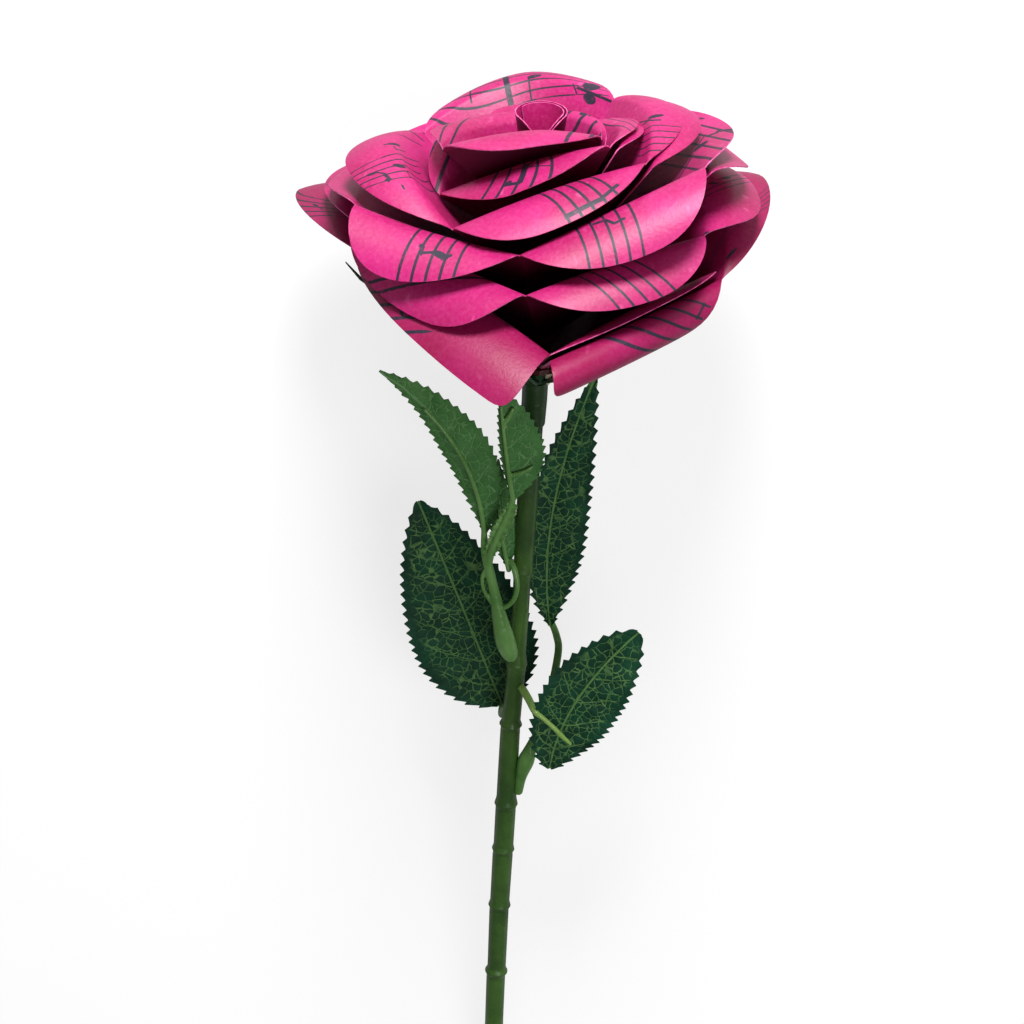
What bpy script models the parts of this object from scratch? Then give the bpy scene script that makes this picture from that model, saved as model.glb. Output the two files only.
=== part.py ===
# Paper rose on a moulded plastic stem, lying on its side.
#
# Everything is first drawn in millimetres with the flower's axis upright:
#   x to the right, y away from the flower's front, z up along the stem,
#   zero on the axis at the top of the centre roll.
# At the end the whole rose is laid on its side, head toward +Y and front up,
# and written in metres with the lowest point at zero height.
import math

import bmesh
import bpy
import numpy as np
from mathutils import Matrix, Vector

MM = 0.001

# Sheet sizes
PAPER_THICK = 0.36
SEAM_DRIFT = 0.17
CREASE_RUN = 1.2
WELD = 0.002
BLADE_THICK = 0.5
TOOTH_BITE = 0.9
TOOTH_LEAN = 0.8
SEAT_GAP = 0.3

# How the rose lies: head raised by its outer lobes, then rolled about its own length
REST_PITCH = 9.61
REST_ROLL = 1.16

# Grid counts
LOBE_COLUMNS = 6
WALL_ROWS = 2
LIP_ROWS = 5


def lobe(up=0.0, out=0.0, crease=50.0, curl=14.0, lip=13.0, peak=0.5, near=2.2, far=2.2, skew=0.0,
         rise_peak=0.5):
    """One lobe of a sheet's rim.

    up, out: how far the lobe's middle stands above and outside the straight line between its cuts
    crease: how far the lobe is first bent, degrees; curl: radius that the rest is curled to
    lip: length of the bent part at its longest
    peak: where the lip is longest, from the first cut (0) to the second (1)
    near, far: how square the lip's outline is toward the first and the second cut
    skew: turn of the curl's axis, degrees
    """
    return dict(up=up, out=out, crease=crease, curl=curl, lip=lip, peak=peak, near=near, far=far, skew=skew,
                rise_peak=rise_peak)


# The sheets, outermost first. Cuts are (direction in degrees, distance from the axis, height).
SHEETS = {
    "layer_1": dict(
        neck=(3.9, -60.0),
        cuts=[(-87, 40.0, -39.0), (-15, 41.0, -34.5), (55, 40.0, -38.0), (122, 40.0, -37.0),
              (183, 40.0, -33.0), (273, 39.0, -39.0), (345, 40.0, -33.7)],
        lobes=[lobe(up=0.5, out=1.2, crease=0, curl=3.7, lip=11.0, near=10, far=7, skew=-38),
               lobe(up=12.5, out=7.5, crease=30, curl=20, lip=12.5),
               lobe(up=6.0, out=-2.0, lip=21, near=7, far=7),
               lobe(up=5.0, out=7.0, crease=32, curl=40, lip=20, near=1.1, far=1.5),
               lobe(up=3.5, out=0.5, crease=42, curl=17, lip=19.0, peak=0.78, near=1.9, far=5, skew=16),
               lobe(up=1.5, out=1.0, crease=0, curl=4.6, lip=4.5, near=2, far=3)]),
    "layer_2": dict(
        neck=(3.8, -53.0),
        cuts=[(48, 38.0, -26.0), (118, 37.0, -26.0), (186, 40.0, -25.0), (264.5, 34.0, -27.2),
              (335, 39.0, -21.8), (408, 37.2, -25.2), (478, 36.2, -25.2)],
        lobes=[lobe(up=2, out=5, lip=14), lobe(up=1.5, out=7.5, crease=30, curl=20, lip=12),
               lobe(up=0, out=0, lip=16, peak=0.62),
               lobe(up=1, out=0.5, lip=13, peak=0.55),
               lobe(up=5, out=3.0, crease=38, curl=17.5, lip=15.5, peak=0.42, near=3),
               lobe(up=2.8, out=5, lip=12)]),
    "layer_3": dict(
        neck=(3.7, -46.0),
        cuts=[(-24.5, 39.5, -6.6), (45, 35.0, -14.0), (117, 34.0, -16.0), (196, 41.5, -16.8),
              (261, 29.0, -20.5), (335.5, 39.0, -5.8), (405, 34.2, -13.2)],
        lobes=[lobe(up=-2, out=3, crease=42, curl=16, lip=12), lobe(up=1, out=5, lip=12),
               lobe(up=-3.5, out=7, crease=35, curl=18, lip=11),
               lobe(up=-1, out=0, lip=15, peak=0.36, near=2.6, far=1.5),
               lobe(up=0, out=0, lip=15, peak=0.6),
               lobe(up=-1, out=2.6, crease=20, curl=30, lip=10.5)]),
    "layer_4": dict(
        neck=(3.6, -39.0),
        cuts=[(-26.5, 26.2, -7.9), (50, 26.0, -7.0), (143, 32.0, -14.0), (228.5, 28.5, -17.8),
              (333.5, 25.6, -7.1), (410, 25.4, -6.2)],
        lobes=[lobe(up=4, out=5.5, lip=10), lobe(up=3.2, out=11.5, lip=10, near=6, rise_peak=0.42),
               lobe(up=7, out=8.5, crease=40, curl=16, lip=12.5),
               lobe(up=1.5, out=0.5, lip=13.5, peak=0.42),
               lobe(up=3.5, out=4.2, lip=8)]),
    "layer_5": dict(
        neck=(3.4, -32.0),
        cuts=[(-36, 19.6, -4.0), (52, 16.5, -9.8), (128, 19.5, -9.0), (194, 22.4, -17.6),
              (324, 18.9, -3.3), (412, 15.9, -9.2)],
        lobes=[lobe(up=1.5, out=4.2, lip=5.5), lobe(up=0, out=4, lip=5.5),
               lobe(up=3, out=1, lip=6),
               lobe(up=1.5, out=0.3, curl=10, lip=12, peak=0.45, near=1.6),
               lobe(up=2.0, out=4.6, lip=5)]),
    "layer_6": dict(
        neck=(3.0, -26.0),
        cuts=[(-20, 14.8, -5.0), (88, 12.4, -7.4), (203, 22.9, -4.6), (340, 14.4, -4.2), (448, 11.9, -6.6)],
        lobes=[lobe(up=1.0, out=2.6, curl=10, lip=3), lobe(up=0, out=6, curl=10, lip=7),
               lobe(up=3.0, out=1.5, curl=10, lip=9.5, rise_peak=0.55),
               lobe(up=1.2, out=2.3, curl=10, lip=2.5)]),
}

# Centre roll: a strip of paper wound into a slightly flared tube
ROLL_TURNS = 1.6
ROLL_BOTTOM = (2.2, -21.0)
ROLL_TOP = (5.9, 0.5)
ROLL_NOTCH = 3.4

# Stem line: (x, height, radius), from the top of the stepped upper tube to the plain cut end
STEM_LINE = [
    (-0.9, -65.0, 2.9), (-1.1, -70.0, 2.85), (-1.5, -75.6, 2.8), (-1.6, -76.2, 2.45),
    (-2.2, -88.0, 2.4), (-2.9, -101.0, 2.35), (-3.5, -112.0, 2.2), (-3.7, -114.5, 2.45),
    (-3.8, -116.5, 2.0), (-4.1, -124.0, 1.95), (-4.9, -136.0, 2.0), (-5.1, -139.5, 2.5),
    (-5.2, -141.5, 2.15), (-5.9, -150.0, 2.15), (-6.3, -154.6, 2.2), (-6.4, -155.8, 2.6),
    (-6.5, -157.0, 2.3), (-7.4, -176.0, 2.35), (-7.5, -178.0, 2.7), (-7.6, -179.4, 2.4),
    (-8.1, -189.5, 2.35), (-8.2, -190.8, 2.6), (-8.3, -192.0, 2.4), (-9.0, -205.5, 2.3),
    (-9.1, -207.0, 2.6), (-9.2, -208.4, 2.3), (-9.8, -225.0, 2.2), (-9.9, -226.3, 2.75),
    (-10.0, -227.6, 2.25), (-10.4, -240.0, 2.2), (-11.2, -268.0, 2.3), (-11.3, -269.3, 2.6),
    (-11.4, -270.6, 2.25), (-12.2, -296.0, 2.2)]
STEM_SIDES = 12
ROUND_SIDES = 12
ROD_SIDES = 7
ROLL_GRID = (26, 4)

# Calyx: a small cup over the stem's top, with five narrow sepals under the flower
CALYX_CUP = [(2.3, -64.7), (3.0, -64.7), (3.4, -63.2), (3.6, -62.1), (2.3, -62.1)]
SEPAL_PATH = [(2.6, -64.2), (8.0, -61.8), (16.0, -55.9), (25.0, -49.0), (33.0, -42.8), (38.5, -38.6), (41.6, -34.6)]
SEPAL_WIDTHS = [1.9, 2.1, 2.2, 1.9, 1.4, 0.9, 0.35]
SEPAL_FLAT = 0.34
SEPAL_TURNS = [183, 255, 327, 39, 111]
SHORT_SEPAL = 0.62

# Glue core: a post with a collar under each sheet's neck
CORE_INSET = 1.3
CORE_TOP = -21.4
CORE_FOOT = -61.8
COLLAR_SPREAD = 0.1
COLLAR_DEPTH = 1.5
COLLAR_DROP = 0.6

# Basic solids

def finish_mesh(name, verts, faces):
    """Turn points in millimetres and faces into an object."""
    mesh = bpy.data.meshes.new(name)
    mesh.from_pydata([(x * MM, y * MM, z * MM) for x, y, z in verts], [], faces)
    bm = bmesh.new()
    bm.from_mesh(mesh)
    bmesh.ops.remove_doubles(bm, verts=bm.verts, dist=WELD * MM)
    bmesh.ops.recalc_face_normals(bm, faces=bm.faces)
    bmesh.ops.triangulate(bm, faces=bm.faces)
    bm.to_mesh(mesh)
    bm.free()
    obj = bpy.data.objects.new(name, mesh)
    bpy.context.scene.collection.objects.link(obj)
    return obj


def thicken(verts, faces, thick):
    """Close an open sheet into a solid of even thickness around it."""
    points = np.array(verts, dtype=float)
    normals = np.zeros_like(points)
    for face in faces:
        loop = points[list(face)]
        normal = np.zeros(3)
        for k in range(len(loop)):
            normal += np.cross(loop[k], loop[(k + 1) % len(loop)])
        normals[list(face)] += normal
    lengths = np.linalg.norm(normals, axis=1)
    normals /= np.maximum(lengths, 1e-9)[:, None]
    upper = points + normals * thick / 2
    lower = points - normals * thick / 2
    count = len(points)
    solid = [tuple(face) for face in faces]
    solid += [tuple(count + i for i in reversed(face)) for face in faces]
    edges = {}
    for face in faces:
        for k in range(len(face)):
            a, b = face[k], face[(k + 1) % len(face)]
            edges[(a, b)] = True
    for a, b in edges:
        if (b, a) not in edges:
            solid.append((b, a, count + a, count + b))
    return [tuple(p) for p in np.vstack([upper, lower])], solid


def sweep(path, radii, sides, first_normal=None, flat=1.0):
    """A round or oval rod along a path, with a radius at each point and flat ends."""
    points = [Vector(p) for p in path]
    verts = []
    faces = []
    tangents = []
    for k in range(len(points)):
        before = points[max(k - 1, 0)]
        after = points[min(k + 1, len(points) - 1)]
        tangents.append((after - before).normalized())
    if first_normal is None:
        first_normal = (0.0, -1.0, 0.0)
    side = Vector(first_normal)
    for k, point in enumerate(points):
        side = (side - tangents[k] * side.dot(tangents[k])).normalized()
        other = tangents[k].cross(side)
        for j in range(sides):
            angle = 2 * math.pi * j / sides
            verts.append(tuple(point + (side * math.cos(angle) * flat + other * math.sin(angle)) * radii[k]))
    for k in range(len(points) - 1):
        for j in range(sides):
            a = k * sides + j
            b = k * sides + (j + 1) % sides
            faces.append((a, b, b + sides, a + sides))
    faces.append(tuple(reversed(range(sides))))
    faces.append(tuple(range((len(points) - 1) * sides, len(points) * sides)))
    return verts, faces


def revolve(profile, sides, centre=(0.0, 0.0)):
    """A solid of revolution about an upright axis from (radius, height) pairs, closed at both ends."""
    verts = []
    faces = []
    for radius, height in profile:
        for j in range(sides):
            angle = 2 * math.pi * j / sides
            verts.append((centre[0] + radius * math.cos(angle), centre[1] + radius * math.sin(angle), height))
    for k in range(len(profile) - 1):
        for j in range(sides):
            a = k * sides + j
            b = k * sides + (j + 1) % sides
            faces.append((a, b, b + sides, a + sides))
    faces.append(tuple(reversed(range(sides))))
    faces.append(tuple(range((len(profile) - 1) * sides, len(profile) * sides)))
    return verts, faces


# Paper sheets

def lip_length(spec, s):
    """Length of the curled lip at place s of a lobe."""
    if s <= 0.0 or s >= 1.0:
        return 0.0
    if s < spec["peak"]:
        t = (spec["peak"] - s) / spec["peak"]
        power = spec["near"]
    else:
        t = (s - spec["peak"]) / (1.0 - spec["peak"])
        power = spec["far"]
    return spec["lip"] * max(0.0, 1.0 - t ** power) ** 0.6


def rise(spec, s):
    """Share of the lobe's rise at place s."""
    if s < spec["rise_peak"]:
        t = (spec["rise_peak"] - s) / spec["rise_peak"]
    else:
        t = (s - spec["rise_peak"]) / (1.0 - spec["rise_peak"])
    return max(0.0, 1.0 - t ** 1.8)


def polar(turn, distance, height):
    angle = math.radians(turn)
    return Vector((distance * math.cos(angle), distance * math.sin(angle), height))


def root_point(cut_a, cut_b, spec, s):
    """Where the curl starts at place s of a lobe."""
    a = polar(*cut_a)
    b = polar(*cut_b)
    middle = (a + b) / 2
    outward = Vector((middle.x, middle.y, 0.0)).normalized()
    return a.lerp(b, s) + (outward * spec["out"] + Vector((0, 0, spec["up"]))) * rise(spec, s)


def sheet_points(neck, cut_a, cut_b, spec, s, share, drift, wall_rows, lip_rows):
    """One column of a sheet, from its neck to the free edge. share runs round the sheet for the seam."""
    root = root_point(cut_a, cut_b, spec, s)
    turn = math.degrees(math.atan2(root.y, root.x))
    foot = polar(turn, neck[0], neck[1])
    wall = root - foot
    chord = (polar(*cut_b) - polar(*cut_a)).normalized()
    inward = Vector((-math.cos(math.radians(turn)), -math.sin(math.radians(turn)), 0.0))
    shift = (inward * wall.normalized().z + Vector((0, 0, 1)) * abs(wall.normalized().dot(inward))) * drift * share
    column = []
    for k in range(wall_rows + 1):
        column.append(foot.lerp(root, k / wall_rows) + shift)
    length = lip_length(spec, s)
    if length <= 0.0:
        return column, []
    axis = chord
    along = wall.normalized()
    along = (along - axis * along.dot(axis)).normalized()
    # the curl's inside lies below the sheet, so the lip turns outward and down
    under = axis.cross(along)
    if under.z > 0:
        under = -under
    slant = math.tan(math.radians(spec["skew"]))
    lip = []
    steps = 4
    stride = length / (lip_rows * steps)
    place = root + shift
    for k in range(1, lip_rows * steps + 1):
        arc = stride * (k - 0.5)
        angle = math.radians(spec["crease"]) * (1.0 - math.exp(-arc / CREASE_RUN)) + arc / spec["curl"]
        place = place + (along * math.cos(angle) + under * math.sin(angle) + axis * slant) * stride
        if k % steps == 0:
            lip.append(place)
    return column, lip


def build_sheet(name, spec, columns, wall_rows, lip_rows, thick):
    """A one-sheet cone with a lobed rim, rolled so that its last lobe lies inside its first."""
    verts = []
    faces = []
    cuts = spec["cuts"]
    lobes = spec["lobes"]
    previous_wall = None
    total = len(lobes) * columns
    for i, lobe_spec in enumerate(lobes):
        previous_lip = None
        for j in range(columns + 1):
            if i > 0 and j == 0:
                wall = previous_wall
                lip = None
            else:
                s = j / columns
                # columns crowd toward the cuts, where the outline bends most
                s = 0.5 - 0.5 * math.cos(math.pi * s) if columns > 4 else s
                share = i + s
                points, lip_points = sheet_points(spec["neck"], cuts[i], cuts[i + 1], lobe_spec, s, share,
                                                  SEAM_DRIFT, wall_rows, lip_rows)
                wall = []
                for point in points:
                    wall.append(len(verts))
                    verts.append(tuple(point))
                lip = []
                for point in lip_points:
                    lip.append(len(verts))
                    verts.append(tuple(point))
                if previous_wall is not None:
                    for k in range(wall_rows):
                        faces.append((previous_wall[k], wall[k], wall[k + 1], previous_wall[k + 1]))
            rim_before = previous_lip
            rim_now = lip if lip else None
            if previous_wall is not None and j > 0:
                left = [previous_wall[-1]] + (rim_before or [])
                right = [wall[-1]] + (rim_now or [])
                if len(left) == len(right):
                    for k in range(len(left) - 1):
                        faces.append((left[k], right[k], right[k + 1], left[k + 1]))
                elif len(left) == 1:
                    for k in range(len(right) - 1):
                        faces.append((left[0], right[k], right[k + 1]))
                else:
                    for k in range(len(left) - 1):
                        faces.append((left[k], right[0], left[k + 1]))
            previous_wall = wall
            previous_lip = rim_now
    solid_verts, solid_faces = thicken(verts, faces, thick)
    return finish_mesh(name, solid_verts, solid_faces)


def build_roll(name, columns, rows, thick):
    """The wound centre strip, with a dip at its front."""
    verts = []
    faces = []
    for j in range(columns + 1):
        share = j / columns
        angle = -math.pi / 2 + 0.35 + 2 * math.pi * ROLL_TURNS * share
        shrink = 0.75 * ROLL_TURNS * share
        dip = ROLL_NOTCH * max(0.0, -math.sin(angle)) ** 6
        for k in range(rows + 1):
            t = k / rows
            radius = ROLL_BOTTOM[0] + (ROLL_TOP[0] - ROLL_BOTTOM[0]) * t ** 0.8 - shrink
            height = ROLL_BOTTOM[1] + (ROLL_TOP[1] - dip - ROLL_BOTTOM[1]) * t
            verts.append((radius * math.cos(angle), radius * math.sin(angle), height))
    for j in range(columns):
        for k in range(rows):
            a = j * (rows + 1) + k
            faces.append((a, a + rows + 1, a + rows + 2, a + 1))
    solid_verts, solid_faces = thicken(verts, faces, thick)
    return finish_mesh(name, solid_verts, solid_faces)


# Leaves

def bezier(points, t):
    """A point on the curve through control points."""
    work = [Vector(p) for p in points]
    while len(work) > 1:
        work = [work[k].lerp(work[k + 1], t) for k in range(len(work) - 1)]
    return work[0]


def blade_half_width(t, peak):
    """Half width share of a leaf blade at place t, over the points of its teeth."""
    if t < peak:
        return math.sin(math.pi / 2 * t / peak) ** 0.75
    return math.cos(math.pi / 2 * (t - peak) / (1 - peak)) ** 0.9


def tooth_rows(teeth):
    """Places along a blade and whether a tooth's point is there. The teeth lean toward the tip."""
    rows = [(0.0, False)]
    for tooth in range(teeth):
        rows.append(((tooth + TOOTH_LEAN) / teeth, True))
        rows.append(((tooth + 1) / teeth, False))
    return rows


def build_blade(name, spine, facing, width_left, width_right, peak=0.42, fold=0.18, teeth=16, bite=TOOTH_BITE,
                thick=BLADE_THICK):
    """A leaf blade about a curved midline. facing: the direction that its front looks to."""
    verts = []
    faces = []
    face_dir = Vector(facing).normalized()
    rows = tooth_rows(teeth)
    for t, is_point in rows:
        t_in = min(max(t, 0.004), 0.996)
        point = bezier(spine, t_in)
        tangent = (bezier(spine, min(t_in + 0.01, 1.0)) - bezier(spine, max(t_in - 0.01, 0.0))).normalized()
        side = tangent.cross(face_dir).normalized()
        normal = side.cross(tangent).normalized()
        share = max(blade_half_width(t_in, peak), 0.05)
        for hand, width in ((-1, width_left), (0, 0.0), (1, width_right)):
            reach = width * share
            if not is_point and hand:
                reach *= 1.0 - bite / width
            verts.append(tuple(point + side * hand * reach + normal * fold * reach))
    for k in range(len(rows) - 1):
        for j in range(2):
            a = k * 3 + j
            faces.append((a, a + 1, a + 4, a + 3))
    solid_verts, solid_faces = thicken(verts, faces, thick)
    return finish_mesh(name, solid_verts, solid_faces)


LEAVES = {
    "leaf_upper_left": dict(spine=[(-12.2, -3.0, -103.0), (-14.5, -4.0, -78.0), (-35.5, -4.0, -60.6)],
                            facing=(0.15, 1.0, 0.15), width_left=6.0, width_right=6.0),
    "leaf_middle": dict(spine=[(-6.0, -6.5, -92.0), (-1.8, -7.5, -78.0), (-6.0, -7.0, -64.5)],
                        facing=(0.1, 1.0, 0.1), width_left=6.2, width_right=6.0),
    "leaf_back": dict(spine=[(-8.6, -0.8, -113.0), (-9.5, -0.6, -100.0), (-9.4, 0.0, -86.0)],
                      facing=(0.0, 1.0, 0.0), width_left=2.7, width_right=2.7),
    "leaf_big_left": dict(spine=[(-8.4, 7.5, -155.5), (-17.0, 8.0, -130.0), (-27.5, 8.0, -100.6)],
                          facing=(0.0, -1.0, 0.1), width_left=14.0, width_right=14.0, peak=0.36),
    "leaf_tall_right": dict(spine=[(3.6, 5.0, -133.0), (0.5, 5.0, -103.0), (12.8, 5.0, -66.5)],
                            facing=(0.1, -1.0, 0.05), width_left=5.6, width_right=6.2),
    "leaf_small_right": dict(spine=[(2.6, -9.0, -163.5), (5.0, -9.5, -143.0), (22.8, -9.0, -125.3)],
                             facing=(0.1, -1.0, 0.2), width_left=6.5, width_right=12.0, peak=0.46),
}

# Ribs run along a blade's back, from its foot to this share of its length
RIB_REACH = 0.86
RIB_RADIUS = 0.55
RIB_TIP = 0.3

# Moulded branches: each is a trunk that starts on the stem, with side rods and the ribs of its leaves.
# A rod is a list of (x, y, z, radius).
BRANCHES = {
    "branch_left": dict(
        rods=[[(-6.85, -2.35, -139.0, 1.6), (-7.5, -3.2, -138.6, 1.9), (-8.4, -4.0, -134.0, 2.2),
               (-9.2, -4.0, -128.0, 1.9), (-10.2, -3.8, -121.0, 1.3), (-11.2, -3.7, -114.0, 1.1),
               (-12.2, -3.9, -107.0, 0.95), (-12.4, -4.1, -101.8, 0.7)],
              [(-11.6, -3.8, -111.0, 0.9), (-10.2, -5.6, -104.0, 0.75), (-7.4, -7.2, -96.0, 0.65),
               (-6.1, -7.6, -91.0, 0.6)],
              [(-9.8, -3.8, -121.6, 0.7), (-7.9, -4.4, -122.4, 0.6), (-6.0, -4.7, -120.6, 0.6),
               (-5.4, -4.5, -117.0, 0.6), (-7.4, -3.4, -114.2, 0.6), (-8.6, -1.95, -111.5, 0.55)]],
        ribs=["leaf_upper_left", "leaf_middle", "leaf_back"]),
    "branch_right": dict(
        rods=[[(-4.4, -0.95, -175.0, 1.5), (-3.1, -1.4, -174.6, 1.7), (-1.6, -1.9, -169.0, 2.0),
               (-0.3, -1.6, -162.0, 1.8), (1.8, -0.8, -155.0, 1.3), (4.4, 2.2, -146.0, 1.0),
               (4.6, 5.4, -139.0, 0.85), (4.0, 6.3, -135.0, 0.8), (3.5, 6.15, -131.5, 0.7)]],
        ribs=["leaf_tall_right"]),
    "petiole_left": dict(
        rods=[[(-7.4, 2.7, -153.2, 1.0), (-7.7, 3.5, -153.5, 1.0), (-8.4, 6.0, -157.6, 0.9),
               (-8.6, 8.4, -158.2, 0.8), (-8.5, 9.1, -156.5, 0.7), (-8.4, 8.7, -153.6, 0.65)]],
        ribs=["leaf_big_left"]),
    "petiole_right": dict(
        rods=[[(-3.9, -2.2, -147.2, 1.0), (-3.6, -4.0, -147.6, 0.9), (-3.5, -8.5, -149.0, 0.8),
               (-2.8, -11.4, -150.4, 0.75), (0.5, -12.3, -152.6, 0.7), (6.6, -12.2, -157.6, 0.55)]],
        ribs=[]),
}


def build_stem():
    path = [(x, 0.0, z) for x, z, r in STEM_LINE]
    radii = [r for x, z, r in STEM_LINE]
    verts, faces = sweep(path, radii, STEM_SIDES)
    return finish_mesh("stem", verts, faces)


def join_solids(name, solids):
    """Join solids that meet into one closed body."""
    base = finish_mesh(name, *solids[0])
    for solid in solids[1:]:
        other = finish_mesh(name + "_piece", *solid)
        union = base.modifiers.new("union", "BOOLEAN")
        union.operation = "UNION"
        union.solver = "EXACT"
        union.object = other
        graph = bpy.context.evaluated_depsgraph_get()
        mesh = bpy.data.meshes.new_from_object(base.evaluated_get(graph))
        base.modifiers.clear()
        base.data = mesh
        bpy.data.objects.remove(other, do_unlink=True)
    bm = bmesh.new()
    bm.from_mesh(base.data)
    bmesh.ops.triangulate(bm, faces=bm.faces)
    bm.to_mesh(base.data)
    bm.free()
    base.data.name = name
    return base


def build_calyx():
    solids = [revolve(CALYX_CUP, ROUND_SIDES, (STEM_LINE[0][0], 0.0))]
    for turn in SEPAL_TURNS:
        angle = math.radians(turn)
        reach = 1.0 if turn == SEPAL_TURNS[0] else SHORT_SEPAL
        path = []
        for distance, height in SEPAL_PATH:
            far = SEPAL_PATH[0][0] + (distance - SEPAL_PATH[0][0]) * reach
            tall = SEPAL_PATH[0][1] + (height - SEPAL_PATH[0][1]) * reach
            path.append((STEM_LINE[0][0] + far * math.cos(angle), far * math.sin(angle), tall))
        under = (math.cos(angle) * 0.5, math.sin(angle) * 0.5, -0.8)
        solids.append(sweep(path, SEPAL_WIDTHS, 6, under, SEPAL_FLAT))
    return join_solids("calyx", solids)


def build_core():
    """The hot-melt glue post with a collar just under each sheet's neck, from the foot up."""
    profile = []
    for spec in SHEETS.values():
        distance, height = spec["neck"]
        top = height - COLLAR_DROP
        if profile:
            profile.append((distance - CORE_INSET, top - COLLAR_DEPTH))
            profile.append((distance + COLLAR_SPREAD, top - COLLAR_DEPTH / 2))
        else:
            profile.append((distance + COLLAR_SPREAD, CORE_FOOT))
        profile.append((distance + COLLAR_SPREAD, top))
        profile.append((distance - CORE_INSET, top))
    profile.append((profile[-1][0], CORE_TOP))
    verts, faces = revolve(profile, ROUND_SIDES)
    return finish_mesh("glue_core", verts, faces)


def build_leaves():
    objects = []
    for name, spec in LEAVES.items():
        objects.append(build_blade(name, **spec))
    return objects


def rib_rod(leaf):
    """The rod of a leaf's midrib, just clear of the blade's back."""
    spec = LEAVES[leaf]
    back = -Vector(spec["facing"]).normalized()
    stand_off = BLADE_THICK / 2 + SEAT_GAP + RIB_RADIUS
    rod = []
    for k in range(8):
        t = RIB_REACH * k / 7
        point = bezier(spec["spine"], t) + back * stand_off
        rod.append((point.x, point.y, point.z, RIB_RADIUS + (RIB_TIP - RIB_RADIUS) * t))
    return rod


def build_branches():
    objects = []
    for name, spec in BRANCHES.items():
        rods = list(spec["rods"]) + [rib_rod(leaf) for leaf in spec["ribs"]]
        solids = [sweep([rod[:3] for rod in rods_points], [rod[3] for rod in rods_points], ROD_SIDES)
                  for rods_points in rods]
        objects.append(join_solids(name, solids))
    return objects


def lay_down(objects):
    """Lay the rose on its side, head toward +Y, front up, lowest point at zero height."""
    lie = Matrix.Rotation(math.radians(-90), 4, "X")
    roll = Matrix.Rotation(math.radians(REST_ROLL), 4, "Y")
    pitch = Matrix.Rotation(math.radians(REST_PITCH), 4, "X")
    turn = pitch @ roll @ lie
    low = Vector((1e9, 1e9, 1e9))
    high = Vector((-1e9, -1e9, -1e9))
    for obj in objects:
        obj.data.transform(turn)
        for vert in obj.data.vertices:
            for k in range(3):
                low[k] = min(low[k], vert.co[k])
                high[k] = max(high[k], vert.co[k])
    move = Matrix.Translation((-(low.x + high.x) / 2, -(low.y + high.y) / 2, -low.z))
    for obj in objects:
        obj.data.transform(move)


def main():
    for obj in list(bpy.data.objects):
        bpy.data.objects.remove(obj, do_unlink=True)
    objects = []
    for name, spec in SHEETS.items():
        objects.append(build_sheet(name, spec, LOBE_COLUMNS, WALL_ROWS, LIP_ROWS, PAPER_THICK))
    objects.append(build_roll("centre_roll", *ROLL_GRID, PAPER_THICK))
    objects.append(build_core())
    objects.append(build_calyx())
    objects.append(build_stem())
    objects += build_branches()
    objects += build_leaves()
    lay_down(objects)


main()
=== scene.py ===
import math

import bmesh
import bpy
import numpy as np
from mathutils import Matrix, Vector


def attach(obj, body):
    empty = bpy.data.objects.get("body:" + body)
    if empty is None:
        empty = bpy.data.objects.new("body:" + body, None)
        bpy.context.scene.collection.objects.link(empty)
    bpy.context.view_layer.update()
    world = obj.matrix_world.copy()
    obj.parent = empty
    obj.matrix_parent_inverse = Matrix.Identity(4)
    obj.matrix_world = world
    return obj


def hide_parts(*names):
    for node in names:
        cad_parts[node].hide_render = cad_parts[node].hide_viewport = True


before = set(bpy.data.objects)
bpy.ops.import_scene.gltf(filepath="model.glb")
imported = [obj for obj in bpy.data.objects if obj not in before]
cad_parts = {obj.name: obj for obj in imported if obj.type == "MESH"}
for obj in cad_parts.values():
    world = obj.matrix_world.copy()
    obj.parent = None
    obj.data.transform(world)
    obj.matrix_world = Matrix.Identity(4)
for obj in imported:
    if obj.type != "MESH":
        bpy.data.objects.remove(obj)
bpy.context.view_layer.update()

MM = 0.001

# Where the rose lies
REST_PITCH = 9.61
REST_ROLL = 1.16

# Paper
PAPER_THICK = 0.26
SEAM_DRIFT = 0.17
WELD_DISTANCE = 0.003
CREASE_RUN = 1.2
LIP_POWER = 0.6
RISE_POWER = 1.8
LOBE_COLUMNS = 36
WALL_ROWS = 12
LIP_ROWS = 20
# Each row of the lip is bent in this many steps
LIP_STEPS = 4

# The print's coordinates jump by this much from one lobe to the next
LOBE_PITCH = 200.0
# Paper without a stave has its print coordinate this far up, clear of every line
BLANK = 50.0


def lobe(up=0.0, out=0.0, crease=50.0, curl=14.0, lip=13.0, peak=0.5, near=2.2, far=2.2, skew=0.0,
         rise_peak=0.5):
    """One lobe of a sheet's rim, as the solids have it."""
    return dict(up=up, out=out, crease=crease, curl=curl, lip=lip, peak=peak, near=near, far=far, skew=skew,
                rise_peak=rise_peak)


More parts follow.
